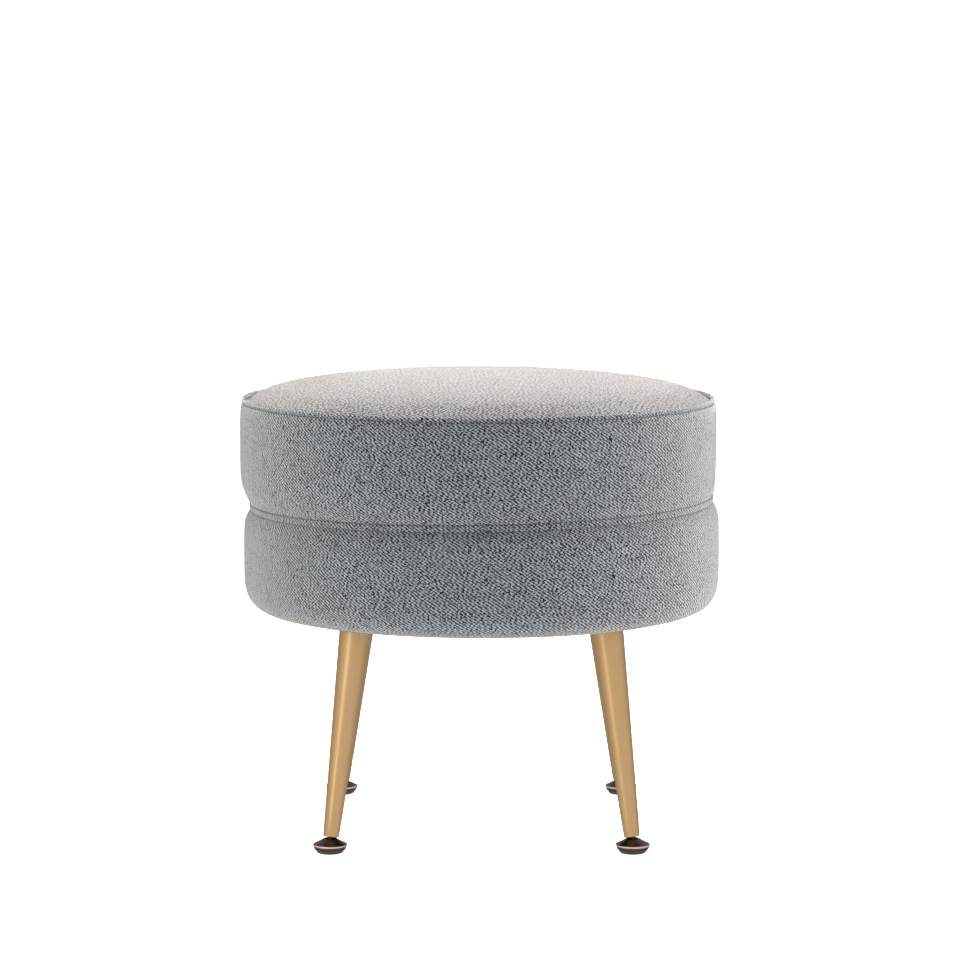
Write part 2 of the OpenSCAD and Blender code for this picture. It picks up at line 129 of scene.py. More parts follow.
class Nodes:
    """Short calls that add nodes to a tree."""

    def __init__(self, tree: bpy.types.NodeTree) -> None:
        """Takes a tree and empties it."""
        self.tree = tree
        tree.nodes.clear()

    def put(self, socket: Socket, value: object) -> None:
        """Links a socket to another, or sets its value.

        Args:
            socket: The input to fill.
            value: Another node's output, a number or a tuple, where a colour may lack its alpha.
        """
        if isinstance(value, Socket):
            self.tree.links.new(value, socket)
        elif isinstance(value, tuple) and len(value) == 3 and len(socket.default_value) == 4:
            socket.default_value = (*value, 1.0)
        else:
            socket.default_value = value

    def add(self, kind: str, *inputs: object, **options: object) -> bpy.types.Node:
        """Adds a node.

        Args:
            kind: The node's kind, as the end of its type's name.
            *inputs: What its inputs are linked or set to, in order, where None leaves one alone.
            **options: The node's own options.

        Returns:
            The node.
        """
        node = self.tree.nodes.new(f"ShaderNode{kind}")
        for name, value in options.items():
            setattr(node, name, value)
        for socket, value in zip(node.inputs, inputs):
            if value is not None:
                self.put(socket, value)
        return node

    def math(self, operation: str, first: Value, second: Value = 0.0) -> Socket:
        """Adds a math node and returns its result."""
        return self.add("Math", first, second, operation=operation).outputs[0]

    def scaled(self, value: Value, factor: float, offset: float) -> Socket:
        """A number times a factor, and an offset added."""
        return self.math("ADD", self.math("MULTIPLY", value, factor), offset)

    def between(self, share: Value, low: Value, high: Value) -> Socket:
        """Mixes two numbers by a share."""
        return self.add("Mix", share, None, low, high).outputs[0]

    def vector(self, x: Value, y: Value, z: Value = 0.0) -> Socket:
        """Joins three numbers into a vector."""
        return self.add("CombineXYZ", x, y, z).outputs[0]

    def split(self, vector: Socket) -> list[Socket]:
        """The three numbers of a vector."""
        return list(self.add("SeparateXYZ", vector).outputs)


class Graph(Nodes):
    """A material with one Principled shader."""

    def __init__(self, name: str) -> None:
        """Starts a material with nothing but its shader.

        Args:
            name: The material's name.
        """
        self.material = bpy.data.materials.new(name)
        self.material.use_nodes = True
        super().__init__(self.material.node_tree)
        self.shader = self.add("BsdfPrincipled")
        self.add("OutputMaterial", self.shader.outputs[0])

    def set(self, **values: object) -> None:
        """Sets inputs of the Principled shader, with underscores for the blanks of their names."""
        for name, value in values.items():
            self.put(self.shader.inputs[name.replace("_", " ")], value)

    def blend(self, share: Value, low: object, high: object, amount: float = 1.0) -> Socket:
        """Mixes two colours.

        Args:
            share: How much of the second colour there is, from 0 to 1.
            low: The first colour.
            high: The second colour.
            amount: What the share is multiplied by.

        Returns:
            The mixed colour.
        """
        if amount != 1.0:
            share = self.math("MULTIPLY", share, amount)
        # The colours come after five inputs for a vector share, numbers and vectors
        others = [None] * 5
        return self.add("Mix", share, *others, low, high, data_type="RGBA").outputs[2]

    def place(self, stretch: Place = (1.0, 1.0, 1.0)) -> Socket:
        """The piece's Object coordinates, each multiplied by its stretch."""
        source = self.add("TexCoord").outputs["Object"]
        return self.add("VectorMath", source, stretch, operation="MULTIPLY").outputs[0]

    def surface(self, name: str) -> list[Socket]:
        """The two lengths of a piece's own UV map, in metres."""
        return self.split(self.add("UVMap", uv_map=name).outputs[0])[:2]

    def speckle(self, vector: Socket) -> Socket:
        """One random number for each whole place of a vector."""
        return self.add("TexWhiteNoise", vector, noise_dimensions="3D").outputs[0]

    def cloud(self, vector: Socket, scale: float, detail: float = 3.0, rough: float = 0.55) -> Socket:
        """Smooth noise of a scale."""
        return self.add("TexNoise", vector, None, scale, detail, rough).outputs[0]

    def cells(self, vector: Socket, scale: float) -> Socket:
        """Distance to the nearest cell of a Voronoi pattern."""
        return self.add("TexVoronoi", vector, None, scale).outputs[0]

    def relief(self, height: Value, depth: float) -> None:
        """Gives the shader a bump.

        Args:
            height: The bump's height, from 0 to 1.
            depth: What a height of 1 is, in metres.
        """
        node = self.add("Bump")
        for name, value in (("Strength", 1.0), ("Distance", depth), ("Height", height)):
            self.put(node.inputs[name], value)
        self.set(Normal=node.outputs[0])


# Finishes


@dataclass(frozen=True)
class TwillCloth:
    """Heathered two-up two-down twill, drawn on the piece's UV map in metres.

    A float is the stretch of a yarn that lies over the yarns across it.
    """

    name: str = "heathered_twill"
    warp_width: float = 1.22 * MM
    weft_width: float = 0.83 * MM
    float_length: float = 2.0
    # Colours, and the least and greatest lightness of each system of yarns; the hollow colour and the edge
    # lightness are painted shade: a yarn darkens towards that near black where the weave's relief is low,
    # and keeps that share of its own colour at its edges
    light: Colour = (0.575, 0.70, 0.735)
    warm: Colour = (0.69, 0.70, 0.755)
    dark: Colour = (0.010, 0.015, 0.020)
    hollow: Colour = (0.003, 0.004, 0.006)
    fuzz: Colour = (1.0, 0.91, 0.85)
    warp_tones: Pair = (-0.12, 0.18)
    weft_tones: Pair = (0.60, 1.34)
    edge_light: float = 0.30
    nap: float = 0.55
    # The relief, and the powers that make a float's sides and ends fuller
    relief_depth: float = 0.35 * MM
    side_fullness: float = 0.7
    end_fullness: float = 0.5
    # How a yarn changes its shade: a slub's length in yarns, how sharply one ends, how far they
    # are shifted from yarn to yarn, and the share that each float has for itself
    slub: float = 3.0
    slub_change: float = 3.0
    slub_starts: float = 9.0
    float_share: float = 0.75
    # Faults: yarns that wander, floats that stray and stretches of a row that slip by a yarn
    wander: float = 1.1
    wander_scales: Pair = (170.0, 230.0)
    strays: float = 0.07
    slips: float = 0.45
    slip_length: float = 9.0
    slip_lean: float = 5.3
    # Seeds that keep the random patterns apart
    warp_seed: float = 3.0
    weft_seed: float = 17.0
    stray_seed: float = 5.0
    slip_seed: float = 29.0
    fleck_seed: float = 41.0

    def make(self) -> bpy.types.Material:
        """Builds the twill's material.

        Returns:
            The material.
        """
        g = Graph(self.name)
        u, v = g.surface("cloth")
        sway, drift = (self._wandering(g, scale) for scale in self.wander_scales)
        a = g.math("ADD", g.math("DIVIDE", u, self.warp_width), sway)
        b = g.math("ADD", g.math("DIVIDE", v, self.weft_width), drift)
        column, row = g.math("FLOOR", a), g.math("FLOOR", b)
        across, along = g.math("FRACT", a), g.math("FRACT", b)
        leaning = g.math("ADD", column, g.math("MULTIPLY", row, self.slip_lean))
        patch = g.math("FLOOR", g.math("DIVIDE", leaning, self.slip_length))
        slip = g.math("LESS_THAN", g.speckle(g.vector(row, patch, self.slip_seed)), self.slips)
        stray = g.math("LESS_THAN", g.speckle(g.vector(column, row, self.stray_seed)), self.strays)
        # The warp lies over two picks, then the weft over two ends, one step on in each row
        diagonal = g.math("ADD", g.math("ADD", column, row), slip)
        rib = g.math("FLOOR", g.math("DIVIDE", diagonal, 2 * self.float_length))
        step = g.math("FLOORED_MODULO", diagonal, 2 * self.float_length)
        regular = g.math("LESS_THAN", step, self.float_length - 0.5)
        warp_up = g.math("ABSOLUTE", g.math("SUBTRACT", regular, stray))
        warp_run = g.math("ADD", step, along)
        weft_run = g.math("ADD", g.math("SUBTRACT", step, self.float_length), across)
        run = g.math("DIVIDE", g.between(warp_up, weft_run, warp_run), self.float_length)
        side = g.between(warp_up, along, across)
        height = g.math("MULTIPLY", self._arch(g, side, self.side_fullness),
                        self._arch(g, run, self.end_fullness))
        # Each yarn changes its shade along its length, and a little from float to float
        warp = g.between(self._tone(g, column, b, rib, self.warp_seed), *self.warp_tones)
        weft = g.between(self._tone(g, row, a, rib, self.weft_seed), *self.weft_tones)
        share = g.math("MAXIMUM", g.between(warp_up, weft, warp), 0.0)
        fleck = g.speckle(g.vector(column, row, self.fleck_seed))
        colour = g.blend(share, self.dark, g.blend(fleck, self.light, self.warm))
        # Painted shade: the colour darkens towards the hollow colour at each yarn's edges and ends, where
        # the relief is low
        painted_shading = g.scaled(height, 1 - self.edge_light, self.edge_light)
        nap = g.scaled(share, self.nap, self.nap)
        g.set(Base_Color=g.blend(painted_shading, self.hollow, colour), Roughness=0.92, Specular_IOR_Level=0.12,
              Sheen_Weight=g.math("MINIMUM", nap, 1.0), Sheen_Roughness=0.38, Sheen_Tint=self.fuzz)
        g.relief(height, self.relief_depth)
        return g.material

    def _wandering(self, g: Graph, scale: float) -> Socket:
        """How far a yarn strays from its line, in yarns, by smooth noise of a scale."""
        return g.math("MULTIPLY", g.math("SUBTRACT", g.cloud(g.place(), scale, 1.0), 0.5), self.wander)

    def _arch(self, g: Graph, share: Value, fullness: float) -> Socket:
        """The rise from a yarn's edge to its middle and down to its other edge."""
        return g.math("POWER", g.math("SINE", g.math("MULTIPLY", share, math.pi)), fullness)

    def _tone(self, g: Graph, yarn: Value, along: Value, rib: Value, seed: float) -> Socket:
        """A shade that changes in soft steps along each yarn, and from float to float.

        Args:
            g: The graph that gets the nodes.
            yarn: The yarn's whole number.
            along: The place along the yarn, in yarns.
            rib: The rib that the float lies in.
            seed: Keeps the warp's shades apart from the weft's.

        Returns:
            A number from 0 to 1.
        """
        start = g.math("MULTIPLY", g.speckle(g.vector(yarn, seed)), self.slub_starts)
        place = g.math("ADD", g.math("DIVIDE", along, self.slub), start)
        piece = g.math("FLOOR", place)
        here = g.speckle(g.vector(yarn, piece, seed))
        there = g.speckle(g.vector(yarn, g.math("ADD", piece, 1.0), seed))
        change = g.math("POWER", g.math("FRACT", place), self.slub_change)
        single = g.speckle(g.vector(yarn, rib, seed + 0.5))
        return g.between(self.float_share, g.between(change, here, there), single)


@dataclass(frozen=True)
class Thread:
    """Twisted sewing thread."""

    name: str = "sewing_thread"
    colour: Colour = (0.020, 0.026, 0.031)
    pale: Colour = (0.10, 0.115, 0.125)

    def make(self) -> bpy.types.Material:
        """Builds the thread's material.

        Returns:
            The material.
        """
        g = Graph(self.name)
        ply = g.cloud(g.place(), scale=2600.0, detail=2.0)
        g.set(Base_Color=g.blend(ply, self.colour, self.pale), Roughness=0.85,
              Specular_IOR_Level=0.2, Sheen_Weight=0.6, Sheen_Roughness=0.4)
        g.relief(ply, depth=0.1 * MM)
        return g.material


@dataclass(frozen=True)
class Foam:
    """Open-cell cushion foam, a little paler in patches."""

    name: str = "cushion_foam"
    colour: Colour = (0.80, 0.70, 0.42)
    pale: Colour = (0.86, 0.78, 0.54)
    pore: Colour = (0.42, 0.33, 0.16)

    def make(self) -> bpy.types.Material:
        """Builds the foam's material.

        Returns:
            The material.
        """
        g = Graph(self.name)
        pores = g.cells(g.place(), scale=750.0)
        tint = g.blend(g.cloud(g.place(), scale=9.0), self.colour, self.pale)
        g.set(Base_Color=g.blend(pores, tint, self.pore, amount=0.6), Roughness=0.95,
              Specular_IOR_Level=0.1)
        g.relief(pores, depth=0.8 * MM)
        return g.material


@dataclass(frozen=True)
class Wadding:
    """Bonded polyester wadding."""

    name: str = "wadding_fleece"
    deep: Colour = (0.72, 0.72, 0.70)
    pale: Colour = (0.94, 0.94, 0.92)
    lie: Place = (1.0, 1.0, 3.0)

    def make(self) -> bpy.types.Material:
        """Builds the wadding's material.

        Returns:
            The material.
        """
        g = Graph(self.name)
        strands = g.cloud(g.place(self.lie), scale=420.0, detail=6.0, rough=0.75)
        g.set(Base_Color=g.blend(strands, self.deep, self.pale), Roughness=0.97,
              Specular_IOR_Level=0.1, Sheen_Weight=0.3, Sheen_Roughness=0.6)
        g.relief(strands, depth=1.4 * MM)
        return g.material


@dataclass(frozen=True)
class Plywood:
    """Birch plywood: grained faces and the bands of its plies on the edges."""

    name: str = "birch_plywood"
    ply: float = 2.1 * MM
    edge_slope: float = 0.5
    grain: Place = (3.0, 60.0, 12.0)
    face_deep: Colour = (0.56, 0.37, 0.19)
    face_pale: Colour = (0.74, 0.56, 0.34)
    long_ply: Colour = (0.60, 0.42, 0.23)
    end_ply: Colour = (0.36, 0.21, 0.10)

    def make(self) -> bpy.types.Material:
        """Builds the plywood's material.

        Returns:
            The material.
        """
        g = Graph(self.name)
        grain = g.cloud(g.place(self.grain), scale=6.0, detail=6.0, rough=0.6)
        height = g.split(g.place())[2]
        layer = g.math("FLOORED_MODULO", g.math("FLOOR", g.math("DIVIDE", height, self.ply)), 2.0)
        upward = g.split(g.add("NewGeometry").outputs["Normal"])[2]
        edge = g.math("LESS_THAN", g.math("ABSOLUTE", upward), self.edge_slope)
        face = g.blend(grain, self.face_deep, self.face_pale)
        plies = g.blend(layer, self.long_ply, self.end_ply)
        g.set(Base_Color=g.blend(edge, face, plies, amount=0.75), Roughness=0.72)
        g.relief(grain, depth=0.2 * MM)
        return g.material


@dataclass(frozen=True)
class Fibreboard:
    """Thin brown board with pressed fibres."""

    name: str = "bent_fibreboard"
    deep: Colour = (0.16, 0.085, 0.04)
    pale: Colour = (0.34, 0.20, 0.10)
    stained: Colour = (0.22, 0.13, 0.07)

    def make(self) -> bpy.types.Material:
        """Builds the board's material.

        Returns:
            The material.
        """
        g = Graph(self.name)
        fibres = g.cloud(g.place(), scale=900.0, detail=5.0, rough=0.7)
        stain = g.cloud(g.place(), scale=14.0)
        brown = g.blend(fibres, self.deep, self.pale)
        g.set(Base_Color=g.blend(stain, brown, self.stained, amount=0.35), Roughness=0.78)
        g.relief(fibres, depth=0.12 * MM)
        return g.material


@dataclass(frozen=True)
class DustCloth:
    """Black spun-bonded cloth with its small pressed dots."""

    name: str = "spun_bonded_cloth"
    dot: float = 1.6 * MM
    dot_level: float = 0.55
    dot_depth: float = 0.8
    deep: Colour = (0.010, 0.010, 0.012)
    pale: Colour = (0.045, 0.045, 0.05)
    pressed: Colour = (0.008, 0.008, 0.009)

    def make(self) -> bpy.types.Material:
        """Builds the dust cloth's material.

        Returns:
            The material.
        """
        g = Graph(self.name)
        across, along, _ = g.split(g.place((1 / self.dot, 1 / self.dot, 1.0)))
        waves = [g.math("SINE", g.math("MULTIPLY", length, TURN)) for length in (across, along)]
        dots = g.math("GREATER_THAN", g.math("MULTIPLY", *waves), self.dot_level)
        fibres = g.cloud(g.place(), scale=1500.0, detail=5.0, rough=0.8)
        colour = g.blend(fibres, self.deep, self.pale)
        g.set(Base_Color=g.blend(dots, colour, self.pressed, amount=0.6), Roughness=0.88,
              Specular_IOR_Level=0.25, Sheen_Weight=0.15)
        pressed = g.math("MULTIPLY", dots, self.dot_depth)
        g.relief(g.math("SUBTRACT", fibres, pressed), depth=0.15 * MM)
        return g.material


@dataclass(frozen=True)
class BrushedBrass:
    """Satin brass plating, brushed along each leg."""

    name: str = "satin_brass"
    pale: Colour = (0.60, 0.395, 0.195)
    deep: Colour = (0.51, 0.315, 0.145)
    strokes: Place = (900.0, 900.0, 14.0)

    def make(self) -> bpy.types.Material:
        """Builds the brass's material.

        Returns:
            The material.
        """
        g = Graph(self.name)
        strokes = g.cloud(g.place(self.strokes), scale=1.0, detail=4.0, rough=0.7)
        tarnish = g.cloud(g.place(), scale=35.0, detail=4.0)
        colour = g.blend(strokes, self.pale, self.deep, amount=0.5)
        g.set(Base_Color=g.blend(tarnish, colour, self.deep, amount=0.35), Metallic=1.0,
              Roughness=g.scaled(strokes, factor=0.12, offset=0.33))
        g.relief(strokes, depth=0.012 * MM)
        return g.material


@dataclass(frozen=True)
class ZincSteel:
    """Plated steel with its faint spangle."""

    name: str = "zinc_plated_steel"
    deep: Colour = (0.50, 0.51, 0.53)
    pale: Colour = (0.72, 0.72, 0.70)

    def make(self) -> bpy.types.Material:
        """Builds the zinc's material.

        Returns:
            The material.
        """
        g = Graph(self.name)
        spangle = g.cells(g.place(), scale=380.0)
        film = g.cloud(g.place(), scale=130.0, detail=4.0)
        g.set(Base_Color=g.blend(spangle, self.deep, self.pale), Metallic=1.0,
              Roughness=g.scaled(film, factor=0.25, offset=0.25))
        g.relief(film, depth=0.02 * MM)
        return g.material


@dataclass(frozen=True)
class AntiqueBronze:
    """Dark bronze, rubbed bright where the glide's rim is worn."""

    rim_from: float
    rim_to: float
    name: str = "antique_bronze"
    dark: Colour = (0.085, 0.050, 0.042)
    brown: Colour = (0.17, 0.088, 0.068)
    worn: Colour = (0.72, 0.60, 0.52)
    worn_deep: Colour = (0.62, 0.42, 0.31)
    soft: float = 0.25 * MM

    def make(self) -> bpy.types.Material:
        """Builds the bronze's material.

        Returns:
            The material.
        """
        g = Graph(self.name)
        _, along = g.surface("cloth")
        low = g.math("DIVIDE", g.math("SUBTRACT", along, self.rim_from), self.soft)
        high = g.math("DIVIDE", g.math("SUBTRACT", self.rim_to, along), self.soft)
        rim = g.math("MAXIMUM", g.math("MINIMUM", g.math("MINIMUM", low, high), 1.0), 0.0)
        patina = g.cloud(g.place(), scale=420.0, detail=5.0, rough=0.7)
        dark = g.blend(patina, self.dark, self.brown)
        worn = g.blend(patina, self.worn, self.worn_deep, amount=0.5)
        g.set(Base_Color=g.blend(rim, dark, worn), Metallic=1.0,
              Roughness=g.scaled(patina, factor=0.15, offset=0.22))
        g.relief(patina, depth=0.03 * MM)
        return g.material


@dataclass(frozen=True)
class Plastic:
    """Moulded plastic with a fine spark-eroded grain."""

    name: str
    colour: Colour
    dusty: Colour

    def make(self) -> bpy.types.Material:
        """Builds the plastic's material.

        Returns:
            The material.
        """
        g = Graph(self.name)
        grain = g.cloud(g.place(), scale=2400.0, detail=4.0, rough=0.7)
        dirt = g.cloud(g.place(), scale=160.0, detail=4.0)
        g.set(Base_Color=g.blend(dirt, self.colour, self.dusty, amount=0.6),
              Roughness=g.scaled(grain, factor=0.15, offset=0.38))
        g.relief(grain, depth=0.04 * MM)
        return g.material


# Modelling tools


def deselect() -> None:
    """Lets go of everything, the frame's own nodes included."""
    bpy.ops.object.select_all(action="DESELECT")


def hold(obj: bpy.types.Object) -> None:
    """Makes one object the only selected and the active one.

    Args:
        obj: The object.
    """
    deselect()
    obj.select_set(True)
    bpy.context.view_layer.objects.active = obj


def mode(name: str) -> None:
    """Opens the active object in a mode."""
    bpy.ops.object.mode_set(mode=name)


@contextmanager
def editing(obj: bpy.types.Object,
            chosen: Callable[[bpy.types.MeshVertex], bool] | None = None) -> Iterator[None]:
    """Holds an object open in edit mode with some of its vertices selected.

    Args:
        obj: The object to open.
        chosen: Says of a vertex whether it is selected, and without it all are.

    Yields:
        Nothing, once the object is open.
    """
    hold(obj)
    mode("EDIT")
    bpy.ops.mesh.select_mode(type="VERT")
    bpy.ops.mesh.select_all(action="DESELECT" if chosen else "SELECT")
    if chosen:
        mode("OBJECT")
        for vertex in obj.data.vertices:
            vertex.select = chosen(vertex)
        mode("EDIT")
    yield
    mode("OBJECT")


def named(name: str) -> bpy.types.Object:
    """Names the object that was added last.

    Args:
        name: The name, for the object and its data.

    Returns:
        The object.
    """
    obj = bpy.context.active_object
    obj.name = obj.data.name = name
    return obj


def extrude(x: float, y: float, z: float) -> None:
    """Extrudes what is selected by a move."""
    bpy.ops.mesh.extrude_region_move(TRANSFORM_OT_translate={"value": (x, y, z)})


def heal(obj: bpy.types.Object) -> None:
    """Merges an object's doubles and turns all its faces outwards.

    Args:
        obj: The object.
    """
    with editing(obj):
        bpy.ops.mesh.remove_doubles(threshold=MERGE)
        bpy.ops.mesh.normals_make_consistent(inside=False)


def smooth(obj: bpy.types.Object, degrees: float = 180.0) -> None:
    """Shades faces smooth where they meet at less than an angle.

    Args:
        obj: The object.
        degrees: The angle.
    """
    hold(obj)
    if degrees >= 180:
        bpy.ops.object.shade_smooth()
    else:
        bpy.ops.object.shade_smooth_by_angle(angle=math.radians(degrees))


def outline(name: str, points: Sequence[Point], closed: bool = False) -> bpy.types.Object:
    """Draws an outline of (radius, height) points in the XZ plane by extruding one point.

    Args:
        name: The object's name.
        points: The outline's points.
        closed: Joins the last point to the first.

    Returns:
        The outline, a chain of edges.
    """
    deselect()
    bpy.ops.mesh.primitive_plane_add(size=MM)
    obj = named(name)
    with editing(obj):
        bpy.ops.mesh.merge(type="CENTER")
        bpy.ops.transform.translate(value=(points[0][0], 0.0, points[0][1]))
        for (x, z), (next_x, next_z) in zip(points, points[1:]):
            extrude(next_x - x, 0.0, next_z - z)
    if closed:
        with editing(obj, lambda vertex: vertex.index in (0, len(points) - 1)):
            bpy.ops.mesh.edge_face_add()
    return obj


def lathe(name: str, points: Sequence[Point], steps: int, closed: bool = False,
          angle: float = TURN) -> bpy.types.Object:
    """Spins an outline about the Z axis.

    Args:
        name: The object's name.
        points: The outline's (radius, height) points.
        steps: The number of faces round the turn.
        closed: Joins the outline's last point to its first.
        angle: How far the outline is spun.

    Returns:
        The spun shell, with its doubles merged and its faces outwards.
    """
    obj = outline(name, points, closed)
    with editing(obj):
        bpy.ops.mesh.spin(steps=steps, angle=angle, center=(0, 0, 0), axis=(0, 0, 1))
    heal(obj)
    return obj


def ring_of(obj: bpy.types.Object, count: int) -> None:
    """Repeats a shape evenly about the Z axis, as so many copies in one mesh.

    Args:
        obj: The shape.
        count: The number of copies, the first one included.
    """
    with editing(obj):
        bpy.ops.mesh.spin(steps=count - 1, dupli=True, angle=TURN * (count - 1) / count,
                          center=(0, 0, 0), axis=(0, 0, 1))


def settle(obj: bpy.types.Object, place: Matrix) -> None:
    """Moves a shape to its place and writes that place into its mesh.

    Args:
        obj: The shape.
        place: Its place.
    """
    obj.matrix_world = place
    hold(obj)
    bpy.ops.object.transform_apply(location=True, rotation=True, scale=True)


def finish_modifier(obj: bpy.types.Object, kind: str, **settings: object) -> None:
    """Adds a modifier, sets it and applies it.

    Args:
        obj: The object that gets it.
        kind: The modifier's kind.
        **settings: Its settings.
    """
    hold(obj)
    bpy.ops.object.modifier_add(type=kind)
    modifier = obj.modifiers[-1]
    for name, value in settings.items():
        setattr(modifier, name, value)
    bpy.ops.object.modifier_apply(modifier=modifier.name)


def copy_of(obj: bpy.types.Object, name: str) -> bpy.types.Object:
    """Copies an object together with its mesh.

    Args:
        obj: The object.
        name: The copy's name.

    Returns:
        The copy.
    """
    twin = obj.copy()
    twin.data = obj.data.copy()
    twin.name = twin.data.name = name
    bpy.context.scene.collection.objects.link(twin)
    return twin


# Outlines


def eased(share: float) -> float:
    """A share from 0 to 1 that starts and ends gently."""
    return share ** 2 * (3 - 2 * share)


def arc(centre: Point, half: Point, start: float, end: float, count: int) -> list[Point]:
    """Points on a stretch of an ellipse.

    Args:
        centre: The ellipse's middle.
        half: Its half widths.
        start: The first angle in degrees.
        end: The last angle in degrees.
        count: The number of steps between them.

    Returns:
        One point more than there are steps.
    """
    angles = [math.radians(start + (end - start) * i / count) for i in range(count + 1)]
    return [(centre[0] + half[0] * math.cos(t), centre[1] + half[1] * math.sin(t)) for t in angles]


def inside(corner: Point, steps: Iterable[Point]) -> list[Point]:
    """The points that lie some steps inwards and upwards from a corner."""
    return [(corner[0] - inward, corner[1] + up) for inward, up in steps]


def lengths_along(points: Sequence[Point]) -> list[float]:
    """The length along an outline at each of its points.

    Args:
        points: The outline.

    Returns:
        One length for each point, from 0.
    """
    total = [0.0]
    for here, there in zip(points, points[1:]):
        total.append(total[-1] + math.dist(here, there))
    return total


def spaced(points: Sequence[Point], step: float) -> list[Point]:
    """The same outline with evenly spaced points, its ends kept.

    Args:
        points: The outline.
        step: About how far apart its points are to be.

    Returns:
        The new points.
    """
    along = lengths_along(points)
    count = max(2, round(along[-1] / step))
    result, k = [], 0
    for i in range(count + 1):
        target = along[-1] * i / count
        while k < len(points) - 2 and along[k + 1] < target:
            k += 1
        share = (target - along[k]) / (along[k + 1] - along[k])
        result.append(tuple(p + (q - p) * share for p, q in zip(points[k], points[k + 1])))
    return result


def beside(points: Sequence[Point], distance: float) -> list[Point]:
    """An outline moved sideways, to the left of the way it runs.

    Args:
        points: The outline.
        distance: How far it moves.

    Returns:
        The moved points.
    """
    moved = []
    for i, (x, z) in enumerate(points):
        before, after = points[max(i - 1, 0)], points[min(i + 1, len(points) - 1)]
        run = Vector((after[0] - before[0], after[1] - before[1])).normalized()
        moved.append((x - run.y * distance, z + run.x * distance))
    return moved


def from_axis(place: Vector) -> Point:
    """A vertex's distance from the Z axis, and its height."""
    return math.hypot(place.x, place.y), place.z


# Cloth, finishes and swelling


def cloth_map(obj: bpy.types.Object, points: Sequence[Point], radius: float = 0.0) -> None:
    """Gives a spun piece a UV map in metres: round it from the front, and along its outline.

    Args:
        obj: The spun piece.
        points: The outline that it was spun from, and for a disc from its rim to its middle.
        radius: The radius at which lengths round the piece are true, and 0 for a round
            piece that is cut as a flat disc of cloth.
    """
    mesh = obj.data
    along = lengths_along(points)

    def length_at(place: Vector) -> float:
        """The length along the outline at a vertex, and for a disc from its middle.

        Args:
            place: The vertex's place.

        Returns:
            The length in metres.
        """
        here = from_axis(place)
        if radius:
            return along[min(range(len(points)), key=lambda k: math.dist(points[k], here))]
        out = here[0]
        k = next((k for k in range(1, len(points)) if points[k][0] <= out), len(points) - 1)
        (outer, _), (inner, _) = points[k - 1], points[k]
        share = (outer - out) / (outer - inner)
        return along[-1] - along[k - 1] - share * (along[k] - along[k - 1])

    reach = [length_at(v.co) for v in mesh.vertices]
    turn = [math.atan2(v.co.x, -v.co.y) for v in mesh.vertices]
    layer = mesh.uv_layers.new(name="cloth")
    for face in mesh.polygons:
        middle = math.atan2(face.center.x, -face.center.y)
        for loop in face.loop_indices:
            k = mesh.loops[loop].vertex_index
            if radius:
                angle = turn[k] + TURN * round((middle - turn[k]) / TURN)
                layer.data[loop].uv = (angle * radius, reach[k])
            else:
                layer.data[loop].uv = (reach[k] * math.sin(turn[k]), -reach[k] * math.cos(turn[k]))


def dress(obj: bpy.types.Object, material: bpy.types.Material, body: str = "body",
          stands_for: Iterable[str] = ()) -> None:
    """Gives a finished piece its material and body, and hides the nodes it stands for.

    Args:
        obj: The finished piece.
        material: Its finish.
        body: The frame's body that it moves with.
        stands_for: The CAD nodes that it replaces.
    """
    obj.data.materials.clear()
    obj.data.materials.append(material)
    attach(obj, body)
    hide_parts(*stands_for)
    LOG.info("%s rides on %s, %d faces", obj.name, body, len(obj.data.polygons))


@dataclass(frozen=True)
class Stuffing:
    """How firmly a cover is stuffed, as settings of the cloth solver."""

    pressure: float = 90.0
    cap: float = 1.6 * MM
    mass: float = 0.02
    stretch: float = 15.0
    shear: float = 5.0
    bend: float = 0.5
    damping: float = 2.0
    quality: int = 6
    frames: int = 18

    def swell(self, obj: bpy.types.Object, held: Callable[[Vector], float]) -> None:
        """Blows a cover up while its seams are held, and moves no point further than the cap.

        Args:
            obj: The cover, whose mesh is a little smaller than it ends.
            held: How firmly a point is held, from 0 to 1.
        """
        group = obj.vertex_groups.new(name="seams")
        start = [v.co.copy() for v in obj.data.vertices]
        for vertex in obj.data.vertices:
            group.add([vertex.index], held(vertex.co), "REPLACE")
        hold(obj)
        bpy.ops.object.modifier_add(type="CLOTH")
        modifier = obj.modifiers[-1]
        cloth = modifier.settings
        cloth.quality = self.quality
        cloth.mass = self.mass
        cloth.tension_stiffness = cloth.compression_stiffness = self.stretch
        cloth.shear_stiffness = self.shear
        cloth.bending_stiffness = self.bend
        cloth.air_damping = self.damping
        cloth.effector_weights.gravity = 0.0
        cloth.use_pressure = True
        cloth.uniform_pressure_force = self.pressure
        cloth.vertex_group_mass = group.name
        modifier.point_cache.frame_start = 1
        modifier.point_cache.frame_end = self.frames
        for frame in range(1, self.frames + 1):
            bpy.context.scene.frame_set(frame)
        bpy.ops.object.modifier_apply(modifier=modifier.name)
        bpy.context.scene.frame_set(1)
        moves = [vertex.co - before for vertex, before in zip(obj.data.vertices, start)]
        for vertex, before, move in zip(obj.data.vertices, start, moves):
            if move.length > self.cap:
                vertex.co = before + move * (self.cap / move.length)
        LOG.info("%s swells by %.2f mm at most, before the cap", obj.name,
                 max(move.length for move in moves) / MM)


# The ottoman's shape


